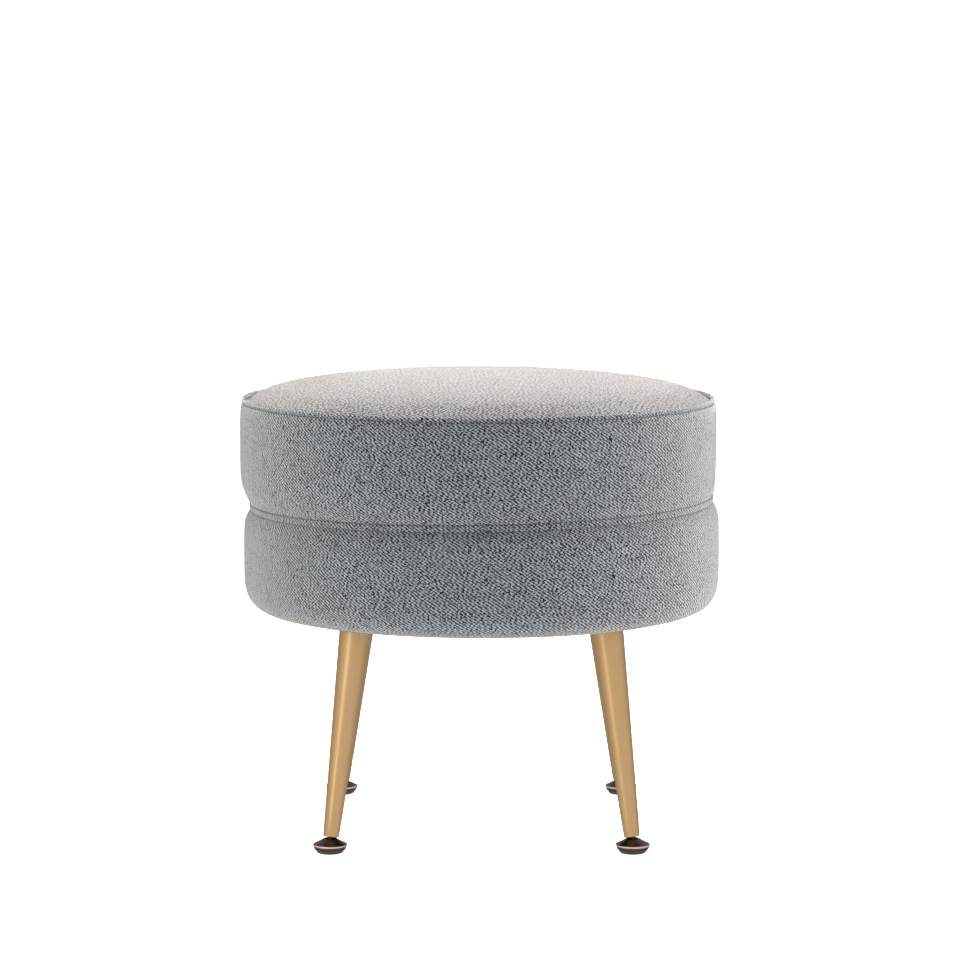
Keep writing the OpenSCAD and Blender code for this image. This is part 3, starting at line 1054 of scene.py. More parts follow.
@dataclass(frozen=True)
class Shape:
    """Driving sizes of the cushion body, the same as the frame's, and its outlines."""

    body_radius: float = 250 * MM
    leg_height: float = 234 * MM
    waist_height: float = 343.5 * MM
    rim_height: float = 452.5 * MM
    crown: float = 25.5 * MM
    crown_fullness: float = 2.5
    crown_edge: float = 0.6
    cloth: float = 1.6 * MM
    waist_draw: float = 5.6 * MM
    upper_draw: float = 31 * MM
    lower_draw: float = 15 * MM
    waist_strip: float = 7 * MM
    rim_draw: float = 7.5 * MM
    shoulder: float = 14 * MM
    lip_strip: float = 3.3 * MM
    groove: float = 1.3 * MM
    hem_corner: Point = (18 * MM, 30 * MM)
    hem: float = 16 * MM
    ease: float = 0.3 * MM
    wadding: float = 6 * MM
    seat_foam: float = 66 * MM
    steps: int = 12
    # Steps inwards and upwards from a seam, for the cloth that turns in there
    waist_roll: tuple[Point, ...] = ((1.8 * MM, -0.5 * MM), (1.3 * MM, 0.15 * MM), (0.5 * MM, 0.6 * MM))
    lip_roll: tuple[Point, ...] = ((2.25 * MM, -1.0 * MM), (2.9 * MM, -0.65 * MM), (3.8 * MM, -0.55 * MM))
    seen_below: float = 2.5 * MM
    hidden_above: float = 0.6 * MM
    hidden_depth: float = 3.6 * MM

    @property
    def waist_radius(self) -> float:
        """Radius of the waist seam."""
        return self.body_radius - self.waist_draw

    @property
    def rim_radius(self) -> float:
        """Radius of the top seam."""
        return self.body_radius - self.rim_draw

    @property
    def hem_radius(self) -> float:
        """Radius of the hem's inner edge."""
        return self.body_radius - self.hem_corner[0] - self.hem

    @property
    def hem_height(self) -> float:
        """Height of the turned-in hem's outer face."""
        return self.leg_height - self.cloth

    @property
    def lip_height(self) -> float:
        """Height of the lower edge of the strip under the top seam."""
        return self.rim_height - self.lip_strip

    @property
    def lip_turn(self) -> list[Point]:
        """Where the upper band turns in under that strip, from its seam on."""
        return inside((self.body_radius, self.lip_height), self.lip_roll)

    def waist_edge(self, side: float) -> float:
        """Height of an edge of the waist strip, the upper one at 1 and the lower one at -1."""
        return self.waist_height + side * self.waist_strip / 2

    def crown_height(self, radius: float, depth: float = 0.0) -> float:
        """Height of the seat at a radius, for a layer at a depth under the cover's face."""
        flat = max(0.0, 1 - (radius / (self.rim_radius - depth)) ** self.crown_fullness)
        return self.rim_height + (self.crown - depth) * flat ** self.crown_edge

    def seat_outline(self, depth: float = 0.0, count: int = 40) -> list[Point]:
        """The crown as sewn, drawn in from the rim by the width of the groove inside the lip.

        Args:
            depth: How deep the layer lies under the cover's face.
            count: The number of steps, which are closer at the rim.

        Returns:
            Its points, from the rim to the middle.
        """
        inset = 1 - self.groove / self.rim_radius
        radii = [(self.rim_radius - depth) * (1 - (1 - i / count) ** 2) for i in range(count, -1, -1)]
        return [(r * inset, self.crown_height(r, depth)) for r in radii]

    def drawn_in(self, share: float, start: float, length: float) -> Point:
        """A point where a band draws in to the waist, at a share of the way there."""
        return (self.body_radius - self.waist_draw * share ** 2, start + length * (1 - share))

    def roll_in(self, side: float) -> list[Point]:
        """A band's edge where it rolls in to the waist strip, above it at 1 and below it at -1."""
        return inside((self.waist_radius, self.waist_edge(side)),
                      [(inward, side * up) for inward, up in self.waist_roll])

    def upper_face(self) -> list[Point]:
        """The upper band's whole face, from the waist seam to the top seam.

        Returns:
            Its points.
        """
        start = self.waist_edge(1)
        side = [self.drawn_in(1 - i / self.steps, start, self.upper_draw) for i in range(self.steps + 1)]
        centre = (self.rim_radius + self.ease, self.rim_height - self.shoulder)
        half = (self.rim_draw - self.ease, self.shoulder)
        return [*self.roll_in(1), *side[1:], *arc(centre, half, 0, 90, count=2 * self.steps)]

    def upper_parts(self) -> tuple[list[Point], list[Point], list[Point]]:
        """The upper band's face as the strip under the top seam leaves it.

        Returns:
            The part that is seen, the part that turns in, and the part behind the strip.
        """
        face = self.upper_face()
        seen = [p for p in face if p[1] < self.lip_height - self.seen_below]
        hidden = [p for p, q in zip(beside(face, self.hidden_depth), face)
                  if q[1] > self.lip_height + self.hidden_above]
        return seen, self.lip_turn, hidden

    def lower_outline(self) -> list[Point]:
        """The lower band's face, from the hem's inner edge to the waist seam.

        Returns:
            Its points.
        """
        wide, high = self.hem_corner
        centre = (self.body_radius - wide, self.hem_height + high)
        corner = arc(centre, self.hem_corner, -90, 0, count=2 * self.steps)
        start = self.waist_edge(-1)
        side = [self.drawn_in(i / self.steps, start, -self.lower_draw) for i in range(self.steps)]
        return [(self.hem_radius, self.hem_height), *corner, *side, *reversed(self.roll_in(-1))]


@dataclass(frozen=True)
class Pull:
    """How the sewn cover sits a little askew on its frame, as in the photograph."""

    shape: Shape
    aside: float = -3.4 * MM
    over: float = 30 * MM
    lean: float = 4.2 * MM
    lean_reach: float = 55 * MM

    def give(self, obj: bpy.types.Object) -> None:
        """Moves the points of a soft piece to where the cover is pulled.

        Args:
            obj: The soft piece.
        """
        s = self.shape
        for vertex in obj.data.vertices:
            radius, height = from_axis(vertex.co)
            above = min(1.0, max(0.0, (height - s.waist_height) / self.over))
            near = max(0.0, 1.0 - abs(height - s.waist_height) / self.lean_reach)
            out = min(1.0, radius / s.waist_radius)
            vertex.co.z += self.lean * vertex.co.x / s.waist_radius * eased(near) * out
            vertex.co.x += self.aside * eased(above)


# The ottoman's pieces


@dataclass
class Covers:
    """The seat cover and the two side bands, sewn from one cloth."""

    shape: Shape
    pull: Pull
    cloth: bpy.types.Material
    stuffing: Stuffing = Stuffing()
    around: int = 160
    seat_around: int = 128
    row: float = 5 * MM
    fine_rows: int = 8
    slack: float = 0.9 * MM
    seam_reach: float = 6 * MM
    lumps: float = 0.45 * MM
    lump_length: float = 80 * MM
    middle: float = 60 * MM
    seat_roll: tuple[Point, ...] = ((-0.1 * MM, -2.4 * MM), (0.7 * MM, -1.0 * MM))

    def build(self) -> None:
        """Builds the three covers."""
        s = self.shape
        roll = inside((s.rim_radius, s.rim_height), self.seat_roll)
        self._cover("seat_cover", [*roll, *spaced(s.seat_outline(), self.row / 2)], "top_panel", 0.0)
        seen, turn, hidden = s.upper_parts()
        upper = [*spaced(seen, self.row), *turn, *spaced(hidden, self.row)]
        self._cover("upper_band_cover", upper, "upper_band", s.body_radius)
        self._cover("lower_band_cover", spaced(s.lower_outline(), self.row), "lower_band", s.body_radius)

    def _seat(self, rows: Sequence[Point]) -> bpy.types.Object:
        """Spins the seat's outer part, and closes its middle with a square grid on the crown.

        Args:
            rows: The seat's outline, whose rows are twice as close at the rim.

        Returns:
            The seat.
        """
        rim = [p for p in rows if p[0] > self.middle]
        rim = [*rim[:self.fine_rows], *rim[self.fine_rows::2]]
        middle = rim[-1][0]
        obj = lathe("seat_cover", rim, self.seat_around)
        with editing(obj, lambda vertex: from_axis(vertex.co)[0] < middle + MERGE):
            bpy.ops.mesh.fill_grid(span=self.seat_around // 4)
        for vertex in obj.data.vertices:
            out, _ = from_axis(vertex.co)
            if out < middle:
                vertex.co.z = self.shape.crown_height(out)
        heal(obj)
        return obj

    def _cover(self, name: str, rows: Sequence[Point], node: str, radius: float) -> None:
        """Spins, swells and thickens one cover.

        Args:
            name: The piece's name.
            rows: Its outer face's outline.
            node: The CAD node that it replaces.
            radius: The radius of its cloth map, and 0 for the seat.
        """
        obj = lathe(name, rows, self.around) if radius else self._seat(rows)
        cloth_map(obj, rows, radius)
        seams = [rows[0], self.shape.lip_turn[0], *([rows[-1]] if radius else [])]

        def room(place: Vector) -> float:
            """From 0 at a seam to 1 where the cloth is free of it."""
            here = from_axis(place)
            return eased(min(1.0, min(math.dist(here, seam) for seam in seams) / self.seam_reach))

        for vertex in obj.data.vertices:
            free = room(vertex.co)
            lump = noise.noise(vertex.co / self.lump_length) * self.lumps
            vertex.co -= vertex.normal * free * (self.slack + lump)
        self.stuffing.swell(obj, lambda place: 1.0 - room(place))
        finish_modifier(obj, "SUBSURF", levels=1, render_levels=1)
        self.pull.give(obj)
        finish_modifier(obj, "SOLIDIFY", thickness=self.shape.cloth, offset=-1.0)
        smooth(obj)
        dress(obj, self.cloth, stands_for=[node])


@dataclass
class Seams:
    """The strips along the top seam and the waist, and the three rows of stitches."""

    shape: Shape
    pull: Pull
    cloth: bpy.types.Material
    thread: bpy.types.Material
    # The waist's strip, a shallow bow that lies behind the two bands
    waist_count: int = 448
    waist_stitch: float = 0.36
    waist_thread_depth: float = 0.7 * MM
    sunk: float = 0.5 * MM
    back: float = 1.7 * MM
    bow: float = 1.0 * MM
    bow_margin: float = 0.1 * MM
    bow_angle: float = 88.0
    # The top seam's strip, in steps inwards and upwards from its lower and upper edges
    rim_count: int = 248
    rim_stitch: float = 0.40
    rim_thread: Point = (2.7 * MM, -0.5 * MM)
    rim_face: tuple[Point, ...] = (
        (4.6 * MM, -0.8 * MM), (3.5 * MM, -0.7 * MM), (2.75 * MM, -0.1 * MM),
        (2.35 * MM, 0.7 * MM), (2.4 * MM, 1.9 * MM))
    lip_middle: Point = (4.7 * MM, -0.6 * MM)
    lip_half: Point = (2.2 * MM, 2.0 * MM)
    lip_angle: float = 12.0
    rim_back: tuple[Point, ...] = ((0.0, -0.6 * MM), (0.0, -2.6 * MM))
    ripple: float = 0.5 * MM
    ripple_length: float = 6 * MM
    ripple_depth: float = 1 * MM
    # The thread, with how far under the cloth's face and in what bow it lies, in its radii
    thread_radius: float = 0.34 * MM
    thread_sunk: float = 0.8
    thread_bow: tuple[float, ...] = (-1.0, -0.2, 0.2, 1.0)
    # The puckers that the stitches draw, with their depths at shares of a stitch
    pucker: float = 0.35 * MM
    pucker_shares: tuple[Pair, ...] = ((0.0, 1.0), (0.25, 0.3), (0.75, 0.3), (1.0, 1.0))

    def build(self) -> None:
        """Builds the strips and the stitches."""
        self._waist()
        self._rim()

    def _waist(self) -> None:
        """Builds the strip that lies in the waist, with a row of stitches along each edge."""
        s = self.shape
        low, high = s.waist_edge(-1), s.waist_edge(1)
        back, front = s.waist_radius - self.back, s.waist_radius - self.sunk
        bow = arc((front - self.bow, s.waist_height), (self.bow, s.waist_strip / 2 - self.bow_margin),
                  -self.bow_angle, self.bow_angle, count=12)
        face = [(back, low), *bow, (back, high)]
        self._strip("waist_strip_cloth", face, "waist_strip", self.waist_count, (1, len(face) - 2))
        for name, z in (("waist_stitches_low", low), ("waist_stitches_high", high)):
            self._stitches(name, (front - self.waist_thread_depth, z), self.waist_count, self.waist_stitch)

    def _rim(self) -> None:
        """Builds the strip under the top seam, which stands up to a rounded lip."""
        s = self.shape
        lower_edge, upper_edge = (s.body_radius, s.lip_height), (s.body_radius, s.rim_height)
        middle = inside(upper_edge, [self.lip_middle])[0]
        lip = arc(middle, self.lip_half, self.lip_angle, 180 - self.lip_angle, count=9)
        face = [*inside(lower_edge, self.rim_face), *lip,
                *inside((s.rim_radius + s.ease, s.rim_height), self.rim_back)]
        self._strip("rim_strip_cloth", face, "rim_strip", self.rim_count, (1, 2))
        thread = inside(lower_edge, [self.rim_thread])[0]
        self._stitches("rim_stitches", thread, self.rim_count, self.rim_stitch)

    def _strip(self, name: str, face: Sequence[Point], node: str, count: int,
               drawn: Sequence[int]) -> None:
        """Models one stitch's length of a strip with its puckers, and repeats it round.

        Args:
            name: The piece's name.
            face: The strip's closed outline.
            node: The CAD node that it replaces.
            count: The number of stitches round it.
            drawn: Which of the outline's points the stitches draw in.
        """
        pitch = TURN / count
        nearby = pitch / 20
        obj = lathe(name, face, steps=4, closed=True, angle=pitch)
        spots = [face[k] for k in drawn]
        for share, depth in self.pucker_shares:
            turn = share * pitch

            def pulled(vertex: bpy.types.MeshVertex) -> bool:
                """Says of a vertex whether it lies at this turn where the stitches draw in.

                Args:
                    vertex: The vertex.

                Returns:
                    Whether it does.
                """
                here = from_axis(vertex.co)
                return (abs(math.atan2(vertex.co.y, vertex.co.x) - turn) < nearby
                        and any(math.dist(here, spot) < NEAR for spot in spots))

            outwards = Vector((math.cos(turn), math.sin(turn), 0.0))
            with editing(obj, pulled):
                bpy.ops.transform.translate(value=-outwards * self.pucker * depth)
        ring_of(obj, count)
        heal(obj)
        cloth_map(obj, face, self.shape.body_radius)
        for vertex in obj.data.vertices:
            if vertex.co.z > self.shape.rim_height - self.ripple_depth:
                vertex.co.z += noise.noise(vertex.co / self.ripple_length) * self.ripple
        self.pull.give(obj)
        smooth(obj, degrees=60)
        dress(obj, self.cloth, stands_for=[node])

    def _stitches(self, name: str, place: Point, count: int, share: float) -> None:
        """Models one stitch, a short bow of thread, and repeats it round the body.

        Args:
            name: The piece's name.
            place: The radius of the cloth's face under the stitches, and the row's height.
            count: The number of stitches.
            share: Half the stitch's length, as a share of the pitch.
        """
        radius, height = place
        half = share * TURN * radius / count
        deselect()
        bpy.ops.mesh.primitive_circle_add(vertices=6, radius=self.thread_radius, fill_type="NGON",
                                          rotation=(0, math.pi / 2, 0), location=(-half, 0, 0))
        obj = named(name)
        bpy.ops.object.transform_apply()
        with editing(obj):
            bpy.ops.transform.translate(value=(0, self.thread_sunk * self.thread_radius, 0))
            for rise in self.thread_bow:
                extrude(2 * half / len(self.thread_bow), rise * self.thread_radius, 0)
        heal(obj)
        settle(obj, Matrix.Translation((0, -radius, height)))
        ring_of(obj, count)
        self.pull.give(obj)
        smooth(obj, degrees=70)
        dress(obj, self.thread)


@dataclass
class Padding:
    """The foam and wadding under the covers."""

    shape: Shape
    pull: Pull
    foam: bpy.types.Material
    wadding: bpy.types.Material
    around: int = 96
    rows: int = 20
    give: float = 1.8 * MM
    foam_below_rim: float = 9 * MM

    def build(self) -> None:
        """Builds the four padding pieces."""
        s = self.shape
        depth = s.cloth + s.ease + self.give
        core = depth + s.wadding + s.ease
        top, under, inner = (s.seat_outline(layer + self.give, self.rows)
                             for layer in (depth, depth + s.wadding, core))
        self._pad("seat_wadding", [*top, *reversed(under)], self.wadding, Slot.WADDING, fill=0.8)
        deck = s.rim_height - s.seat_foam
        self._pad("seat_foam", [(0.0, deck), (s.rim_radius - core, deck), *inner], self.foam, Slot.FOAM)
        wall = s.rim_radius - core + s.ease
        upper = [p for part in s.upper_parts() for p in part]
        for node, face in (("upper_side_foam", upper), ("lower_side_foam", s.lower_outline())):
            low, high = (corner.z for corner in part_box(node))
            high = min(high, s.rim_height - self.foam_below_rim)
            side = [p for p in beside(face, depth) if p[0] > wall and low <= p[1] <= high]
            self._pad(node, [*side, (side[-1][0], high), (wall, high), (wall, side[0][1])],
                      self.foam, Slot.FOAM, closed=True)

    def _pad(self, node: str, face: Sequence[Point], material: bpy.types.Material, slot: Slot,
             fill: float = 1.0, closed: bool = False) -> None:
        """Spins one pad from its outline.

        Args:
            node: The CAD node that it replaces.
            face: Its outline.
            material: Its finish.
            slot: The finish's slot, not used.
            fill: How full it is, not used.
            closed: Whether the outline is a ring clear of the middle.
        """
        obj = lathe(f"{node}_pad", face, self.around, closed=closed)
        self.pull.give(obj)
        smooth(obj, degrees=40)
        dress(obj, material, stands_for=[node])


@dataclass
class Underside:
    """The dust cover and the staples that hold it and the hem."""

    shape: Shape
    dust: bpy.types.Material
    zinc: bpy.types.Material
    lap: float = 10 * MM
    thickness: float = 0.6 * MM
    step_bend: Point = (0.6 * MM, 0.5 * MM)
    hem_bend: Point = (1 * MM, 0.2 * MM)
    sag: float = 0.25 * MM
    sag_length: float = 40 * MM
    taut: float = 0.1 * MM
    around: int = 128
    rings: int = 14
    staples: int = 32
    staple_crown: float = 10 * MM
    staple_leg: float = 8 * MM
    wire: float = 0.8 * MM

    def build(self) -> None:
        """Builds the dust cover and the staples."""
        s = self.shape
        step = s.hem_radius - s.ease - self.thickness
        edge = s.hem_radius + self.lap
        row = s.hem_radius + self.lap / 2
        high, low = s.leg_height - self.thickness, s.hem_height - self.thickness
        face = [*[(step * i / self.rings, high) for i in range(self.rings)],
                (step - self.step_bend[0], high), (step, high - self.step_bend[1]),
                (s.hem_radius, low + self.hem_bend[1]), (s.hem_radius + self.hem_bend[0], low),
                (row, low), (edge, low)]
        obj = lathe("dust_cover_cloth", face, self.around)
        for vertex in obj.data.vertices:
            sag = noise.noise(vertex.co / self.sag_length) * self.sag
            vertex.co.z += min(0.0, sag - self.taut)
        if sum(polygon.normal.z for polygon in obj.data.polygons) > 0:
            with editing(obj):
                bpy.ops.mesh.flip_normals()
        finish_modifier(obj, "SOLIDIFY", thickness=self.thickness, offset=-1.0)
        smooth(obj, degrees=60)
        dress(obj, self.dust, stands_for=["dust_cover"])
        self._staples(row, low)

    def _staples(self, radius: float, height: float) -> None:
        """Models one staple, a wire bent down at both ends, and repeats it round.

        Args:
            radius: The radius of the row.
            height: The height of the cloth that the crowns lie on.
        """
        bend = self.wire
        half = self.staple_crown / 2 - self.wire / 2
        down = self.staple_leg + self.wire / 2 - bend
        near, far = 0.3 * bend, 0.7 * bend
        deselect()
        bpy.ops.mesh.primitive_plane_add(size=self.wire, location=(0, -half, self.staple_leg))
        obj = named("cover_staples_wire")
        bpy.ops.object.transform_apply()
        mode("EDIT")
        for y, z, turn in ((0, -down, 0), (near, -far, -45), (far, -near, -45), (2 * half - 2 * bend, 0, 0),
                           (far, near, -45), (near, far, -45), (0, down, 0)):
            extrude(0, y, z)
            if turn:
                bpy.ops.transform.rotate(value=math.radians(turn), orient_axis="X",
                                         center_override=self._middle(obj))
        mode("OBJECT")
        heal(obj)
        settle(obj, Matrix.Rotation(math.pi / self.staples, 4, "Z")
               @ Matrix.Translation((radius, 0, height)))
        ring_of(obj, self.staples)
        smooth(obj, degrees=50)
        dress(obj, self.zinc, stands_for=["cover_staples"])

    @staticmethod
    def _middle(obj: bpy.types.Object) -> Vector:
        """The middle of the selected vertices of an object in edit mode.

        Args:
            obj: The object.

        Returns:
            The middle.
        """
        mode("OBJECT")
        chosen = [v.co for v in obj.data.vertices if v.select]
        middle = sum(chosen, Vector()) / len(chosen)
        mode("EDIT")
        return middle


@dataclass
class Legs:
    """Four tapered brass tubes, splayed outwards, with a rolled lip at the foot."""

    brass: bpy.types.Material
    ball_out: float
    splay: float = math.radians(9.7)
    ball_height: float = 8.5 * MM
    plate_height: float = 230.4 * MM
    top_diameter: float = 34 * MM
    end_diameter: float = 16.4 * MM
    wall: float = 1.5 * MM
    lip: float = 0.8 * MM
    lip_angle: float = -150.0
    # Steps inwards and upwards from the leg's end, for the crease over its lip
    crease: tuple[Point, ...] = ((0.25 * MM, 1.76 * MM), (-0.02 * MM, 2.4 * MM))
    gap: float = 7.75 * MM
    around: int = 72
    rows: int = 12

    def place(self, corner: Corner) -> Matrix:
        """The place of a corner's leg, whose length runs along Z from the ball's centre."""
        return (corner.turn @ Matrix.Translation((self.ball_out, 0, self.ball_height))
                @ Matrix.Rotation(-self.splay, 4, "Y"))

    def build(self) -> None:
        """Models one leg and sets a copy at each corner."""
        length = (self.plate_height - self.ball_height) / math.cos(self.splay)
        taper = (self.top_diameter - self.end_diameter) / 2 / (length - self.gap)
        top = length + self.top_diameter * math.tan(self.splay)
        end, low = self.end_diameter / 2, self.gap + self.lip
        heights = [low + (top - low) * i / self.rows for i in range(1, self.rows + 1)]
        side = [(end + taper * (height - self.gap), height) for height in heights]
        lip = arc((end - self.lip, low), (self.lip, self.lip), self.lip_angle, 0, count=8)
        inner = [(side[-1][0] - self.wall, top), (end - self.wall, low + self.lip)]
        face = [*lip, *inside((end, self.gap), self.crease), *side, *inner]
        model = lathe("leg_model", face, self.around, closed=True)
        for corner in Corner:
            leg = copy_of(model, f"leg_tube_{corner.tag}_brass")
            settle(leg, self.place(corner))
            with editing(leg):
                bpy.ops.mesh.bisect(plane_co=(0, 0, self.plate_height), plane_no=(0, 0, 1),
                                    clear_outer=True)
            with editing(leg, lambda vertex: abs(vertex.co.z - self.plate_height) < NEAR):
                bpy.ops.mesh.bridge_edge_loops()
            heal(leg)
            smooth(leg, degrees=40)
            dress(leg, self.brass, stands_for=[f"leg_tube_{corner.tag}"])
        bpy.data.objects.remove(model)


@dataclass
class Glides:
    """The levelling glides: threaded stems, bronze caps and the pads on the floor."""

    legs: Legs
    # The stems' finish is darkened as painted shade for the gap under each leg's end
    steel: bpy.types.Material
    plastic: bpy.types.Material
    diameter: float = 35.3 * MM
    height: float = 14.6 * MM
    cap_top: float = 14 * MM
    cap_hollow: float = 0.86
    cap_wall_share: float = 1 / 16
    band: float = 3.6 * MM
    band_edge_share: float = 1 / 7
    rim_low_share: float = 0.55
    pad_height: float = 4.8 * MM
    pad_floor: float = 27.2 * MM
    pad_round: float = 1.4 * MM
    pad_ring: float = 0.25 * MM
    groove: float = 0.4 * MM
    opening: float = 10.2 * MM
    chamfer: float = 0.4 * MM
    wear: Point = (0.3 * MM, 0.25 * MM)
    ball: float = 11 * MM
    flat_share: float = 0.84
    foot_share: float = 0.64
    stem: float = 8 * MM
    stem_length: float = 38 * MM
    stem_tip: float = 0.5 * MM
    neck: float = 6.4 * MM
    pin: float = 5 * MM
    pitch: float = 1.25 * MM
    thread_depth_share: float = 0.61
    crest_shares: Pair = (0.44, 0.56)
    crest_wear: float = 0.02 * MM
    core_lap: float = 0.05 * MM
    core_taper: float = 0.2 * MM
    thread_start_share: float = 0.4
    play: float = 0.05 * MM
    joint_gap: float = 0.2 * MM
    joint_drop_share: float = 1 / 6
    around: int = 72
    thread_around: int = 24

    @property
    def socket(self) -> float:
        """Radius of the socket round the ball."""
        return self.ball / 2 + self.play

    @property
    def joint_height(self) -> float:
        """Height of the face in the socket that the pad turns to the cap."""
        return self.legs.ball_height - self.joint_drop_share * self.ball

    @property
    def recess(self) -> float:
        """Radius of the hollow under the cap, which the pad's plug fills."""
        return self.diameter / 2 - self.cap_wall_share * self.diameter

    def build(self) -> None:
        """Models one stem, cap and pad, and sets copies at each corner."""
        cap, bronze = self._cap()
        pad = self._pad()
        stem = self._stem()
        for corner in Corner:
            floor = corner.turn @ Matrix.Translation((self.legs.ball_out, 0, 0))
            for model, part, place, material, slot, body in (
                    (cap, "cap", floor, bronze, Slot.BRONZE, "base"),
                    (pad, "pad", floor, self.plastic, Slot.PAD, "base"),
                    (stem, "stem", self.legs.place(corner), self.steel, Slot.ZINC, "stem")):
                piece = copy_of(model, f"glide_{part}_{corner.tag}_turned")
                settle(piece, place)
                smooth(piece, degrees=38)
                dress(piece, material, f"{body}_{corner.tag}", [f"glide_{part}_{corner.tag}"])
        for model in (cap, pad, stem):
            bpy.data.objects.remove(model)

    def _bowl(self, height: float, end: float, count: int) -> list[Point]:
        """The socket's outline from a height to an angle in degrees, in so many steps."""
        start = math.degrees(math.asin((height - self.legs.ball_height) / self.socket))
        return arc((0.0, self.legs.ball_height), (self.socket, self.socket), start, end, count)

    def _cap(self) -> tuple[bpy.types.Object, bpy.types.Material]:
        """Models the cap: a concave cone, its bright rim and the socket's upper half.

        Returns:
            The cap, and its bronze with the rim's place along the outline.
        """
        edge = self.band_edge_share * self.band
        rim, top, mouth = self.diameter / 2, self.cap_top / 2, self.opening / 2
        band_low = self.pad_height + self.groove
        band_high = band_low + self.band
        low = band_low + self.rim_low_share * self.band
        wide, fall = rim - edge - top, self.height - band_high - edge / 2
        cone = [(top + wide * i / 8, self.height - fall * (i / 8) ** self.cap_hollow) for i in range(1, 8)]
        plug = self.joint_height + self.joint_gap
        bowl = self._bowl(plug, 90 - math.degrees(math.asin(mouth / self.socket)), count=8)
        face = [*bowl, (mouth, self.height - self.chamfer), (mouth + self.chamfer, self.height),
                (top - edge / 2, self.height), (top - 0.1 * edge, self.height - 0.2 * edge), *cone,
                *arc((rim - edge, band_high - edge), (edge, 1.3 * edge), 75, 0, count=4),
                *arc((rim - edge, low + edge), (edge, edge), 0, -80, count=4),
                (rim - 1.6 * edge, low - 0.3 * edge), (rim - 1.5 * edge, band_low + 1.2 * edge),
                (rim - 2 * edge, band_low + 0.3 * edge), (rim - 3 * edge, band_low),
                (self.recess, band_low), (self.recess, plug)]
        obj = lathe("cap_model", face, self.around, closed=True)
        cloth_map(obj, face, rim)
        bright = [along for along, (r, _) in zip(lengths_along(face), face) if r >= rim - 0.75 * edge]
        return obj, AntiqueBronze(bright[0] - self.wear[0], bright[-1] + self.wear[1]).make()

    def _pad(self) -> bpy.types.Object:
        """Models the pad: its rounded foot, its brim and the socket's lower half.

        Returns:
            The pad.
        """
        floor = self.pad_floor / 2
        brim = (floor + self.diameter) / 3
        plug = self.recess - self.joint_gap
        ring = [(share * floor, height) for share, height in (
            (0.0, 0.0), (0.55, 0.0), (0.6, self.pad_ring), (0.8, self.pad_ring), (0.85, 0.0))]
        foot = arc((floor - self.pad_round, self.pad_round), (self.pad_round, self.pad_round),
                   -90, 0, count=8)
        face = [*ring, *foot, (brim - self.groove / 2, self.pad_height - 2 * self.groove),
                (brim, self.pad_height - 1.2 * self.groove), (brim, self.pad_height - 0.6 * self.groove),
                (brim - self.groove, self.pad_height), (plug, self.pad_height),
                (plug, self.joint_height), *self._bowl(self.joint_height, -90, count=10)]
        return lathe("pad_model", face, self.around)

    def _stem(self) -> bpy.types.Object:
        """Models the stem: the pin in the ball, the neck, and a helical thread to its tip.

        Returns:
            The stem.
        """
        flat = self.flat_share * self.ball / 2 + self.play
        foot = -self.foot_share * self.ball / 2 + self.play
        root = self.stem / 2 - self.thread_depth_share * self.pitch
        crest = self.stem / 2 - self.crest_wear
        start, end = self.legs.gap + self.thread_start_share * self.pitch, self.stem_length - self.pitch
        thread = outline("stem_model", [
            (root, 0.0), *[(crest, share * self.pitch) for share in self.crest_shares], (root, self.pitch)])
        finish_modifier(thread, "SCREW", axis="Z", angle=TURN, screw_offset=self.pitch,
                        steps=self.thread_around, render_steps=self.thread_around,
                        iterations=int((end - start) / self.pitch),
                        use_merge_vertices=True, merge_threshold=MERGE)
        settle(thread, Matrix.Translation((0, 0, start)))
        shaft = root + self.core_lap
        core = lathe("stem_core", [
            (0.0, foot), (self.pin / 2, foot), (self.pin / 2, flat), (self.neck / 2, flat),
            (self.neck / 2, start), (shaft, start + self.core_taper), (shaft, end),
            (root - self.stem_tip, self.stem_length), (0.0, self.stem_length)], self.around // 2)
        hold(core)
        thread.select_set(True)
        bpy.ops.object.join()
        with editing(core):
            bpy.ops.mesh.remove_doubles(threshold=MERGE)
        return core


@dataclass
class Woodwork:
    """Finishes for the CAD nodes that keep their meshes."""

    nodes: dict[str, bpy.types.Object]
    finishes: dict[str, bpy.types.Material]

    def build(self) -> None:
        """Dresses each node whose name starts as a finish's key does."""
        for name, node in self.nodes.items():
            material = next((m for start, m in self.finishes.items() if name.startswith(start)), None)
            if material is None or node.hide_render:
                continue
            node.data.materials.clear()
            node.data.materials.append(material)
            LOG.info("%s keeps its mesh, in %s", name, material.name)


# The studio


@dataclass(frozen=True)
class SoftBox:
    """One soft box: where it hangs, its power and size, and what it faces."""

    name: str
    place: Place
    power: float
    size: Point = (1.4, 1.6)
    look: Place = BODY_MIDDLE
    spread: float = 180.0
    colour: Colour = WHITE
    glossy: bool = False

    def build(self) -> None:
        """Hangs the box, out of the camera's sight."""
        deselect()
        bpy.ops.object.light_add(type="AREA", location=self.place)
        light = named(self.name)
        aim = Vector(self.look) - Vector(self.place)
        light.rotation_euler = aim.to_track_quat("-Z", "Y").to_euler()
        light.data.shape = "RECTANGLE"
        light.data.size, light.data.size_y = self.size
        light.data.spread = math.radians(self.spread)
        light.data.energy = self.power
        light.data.color = self.colour
        light.visible_camera = False
        light.visible_glossy = self.glossy


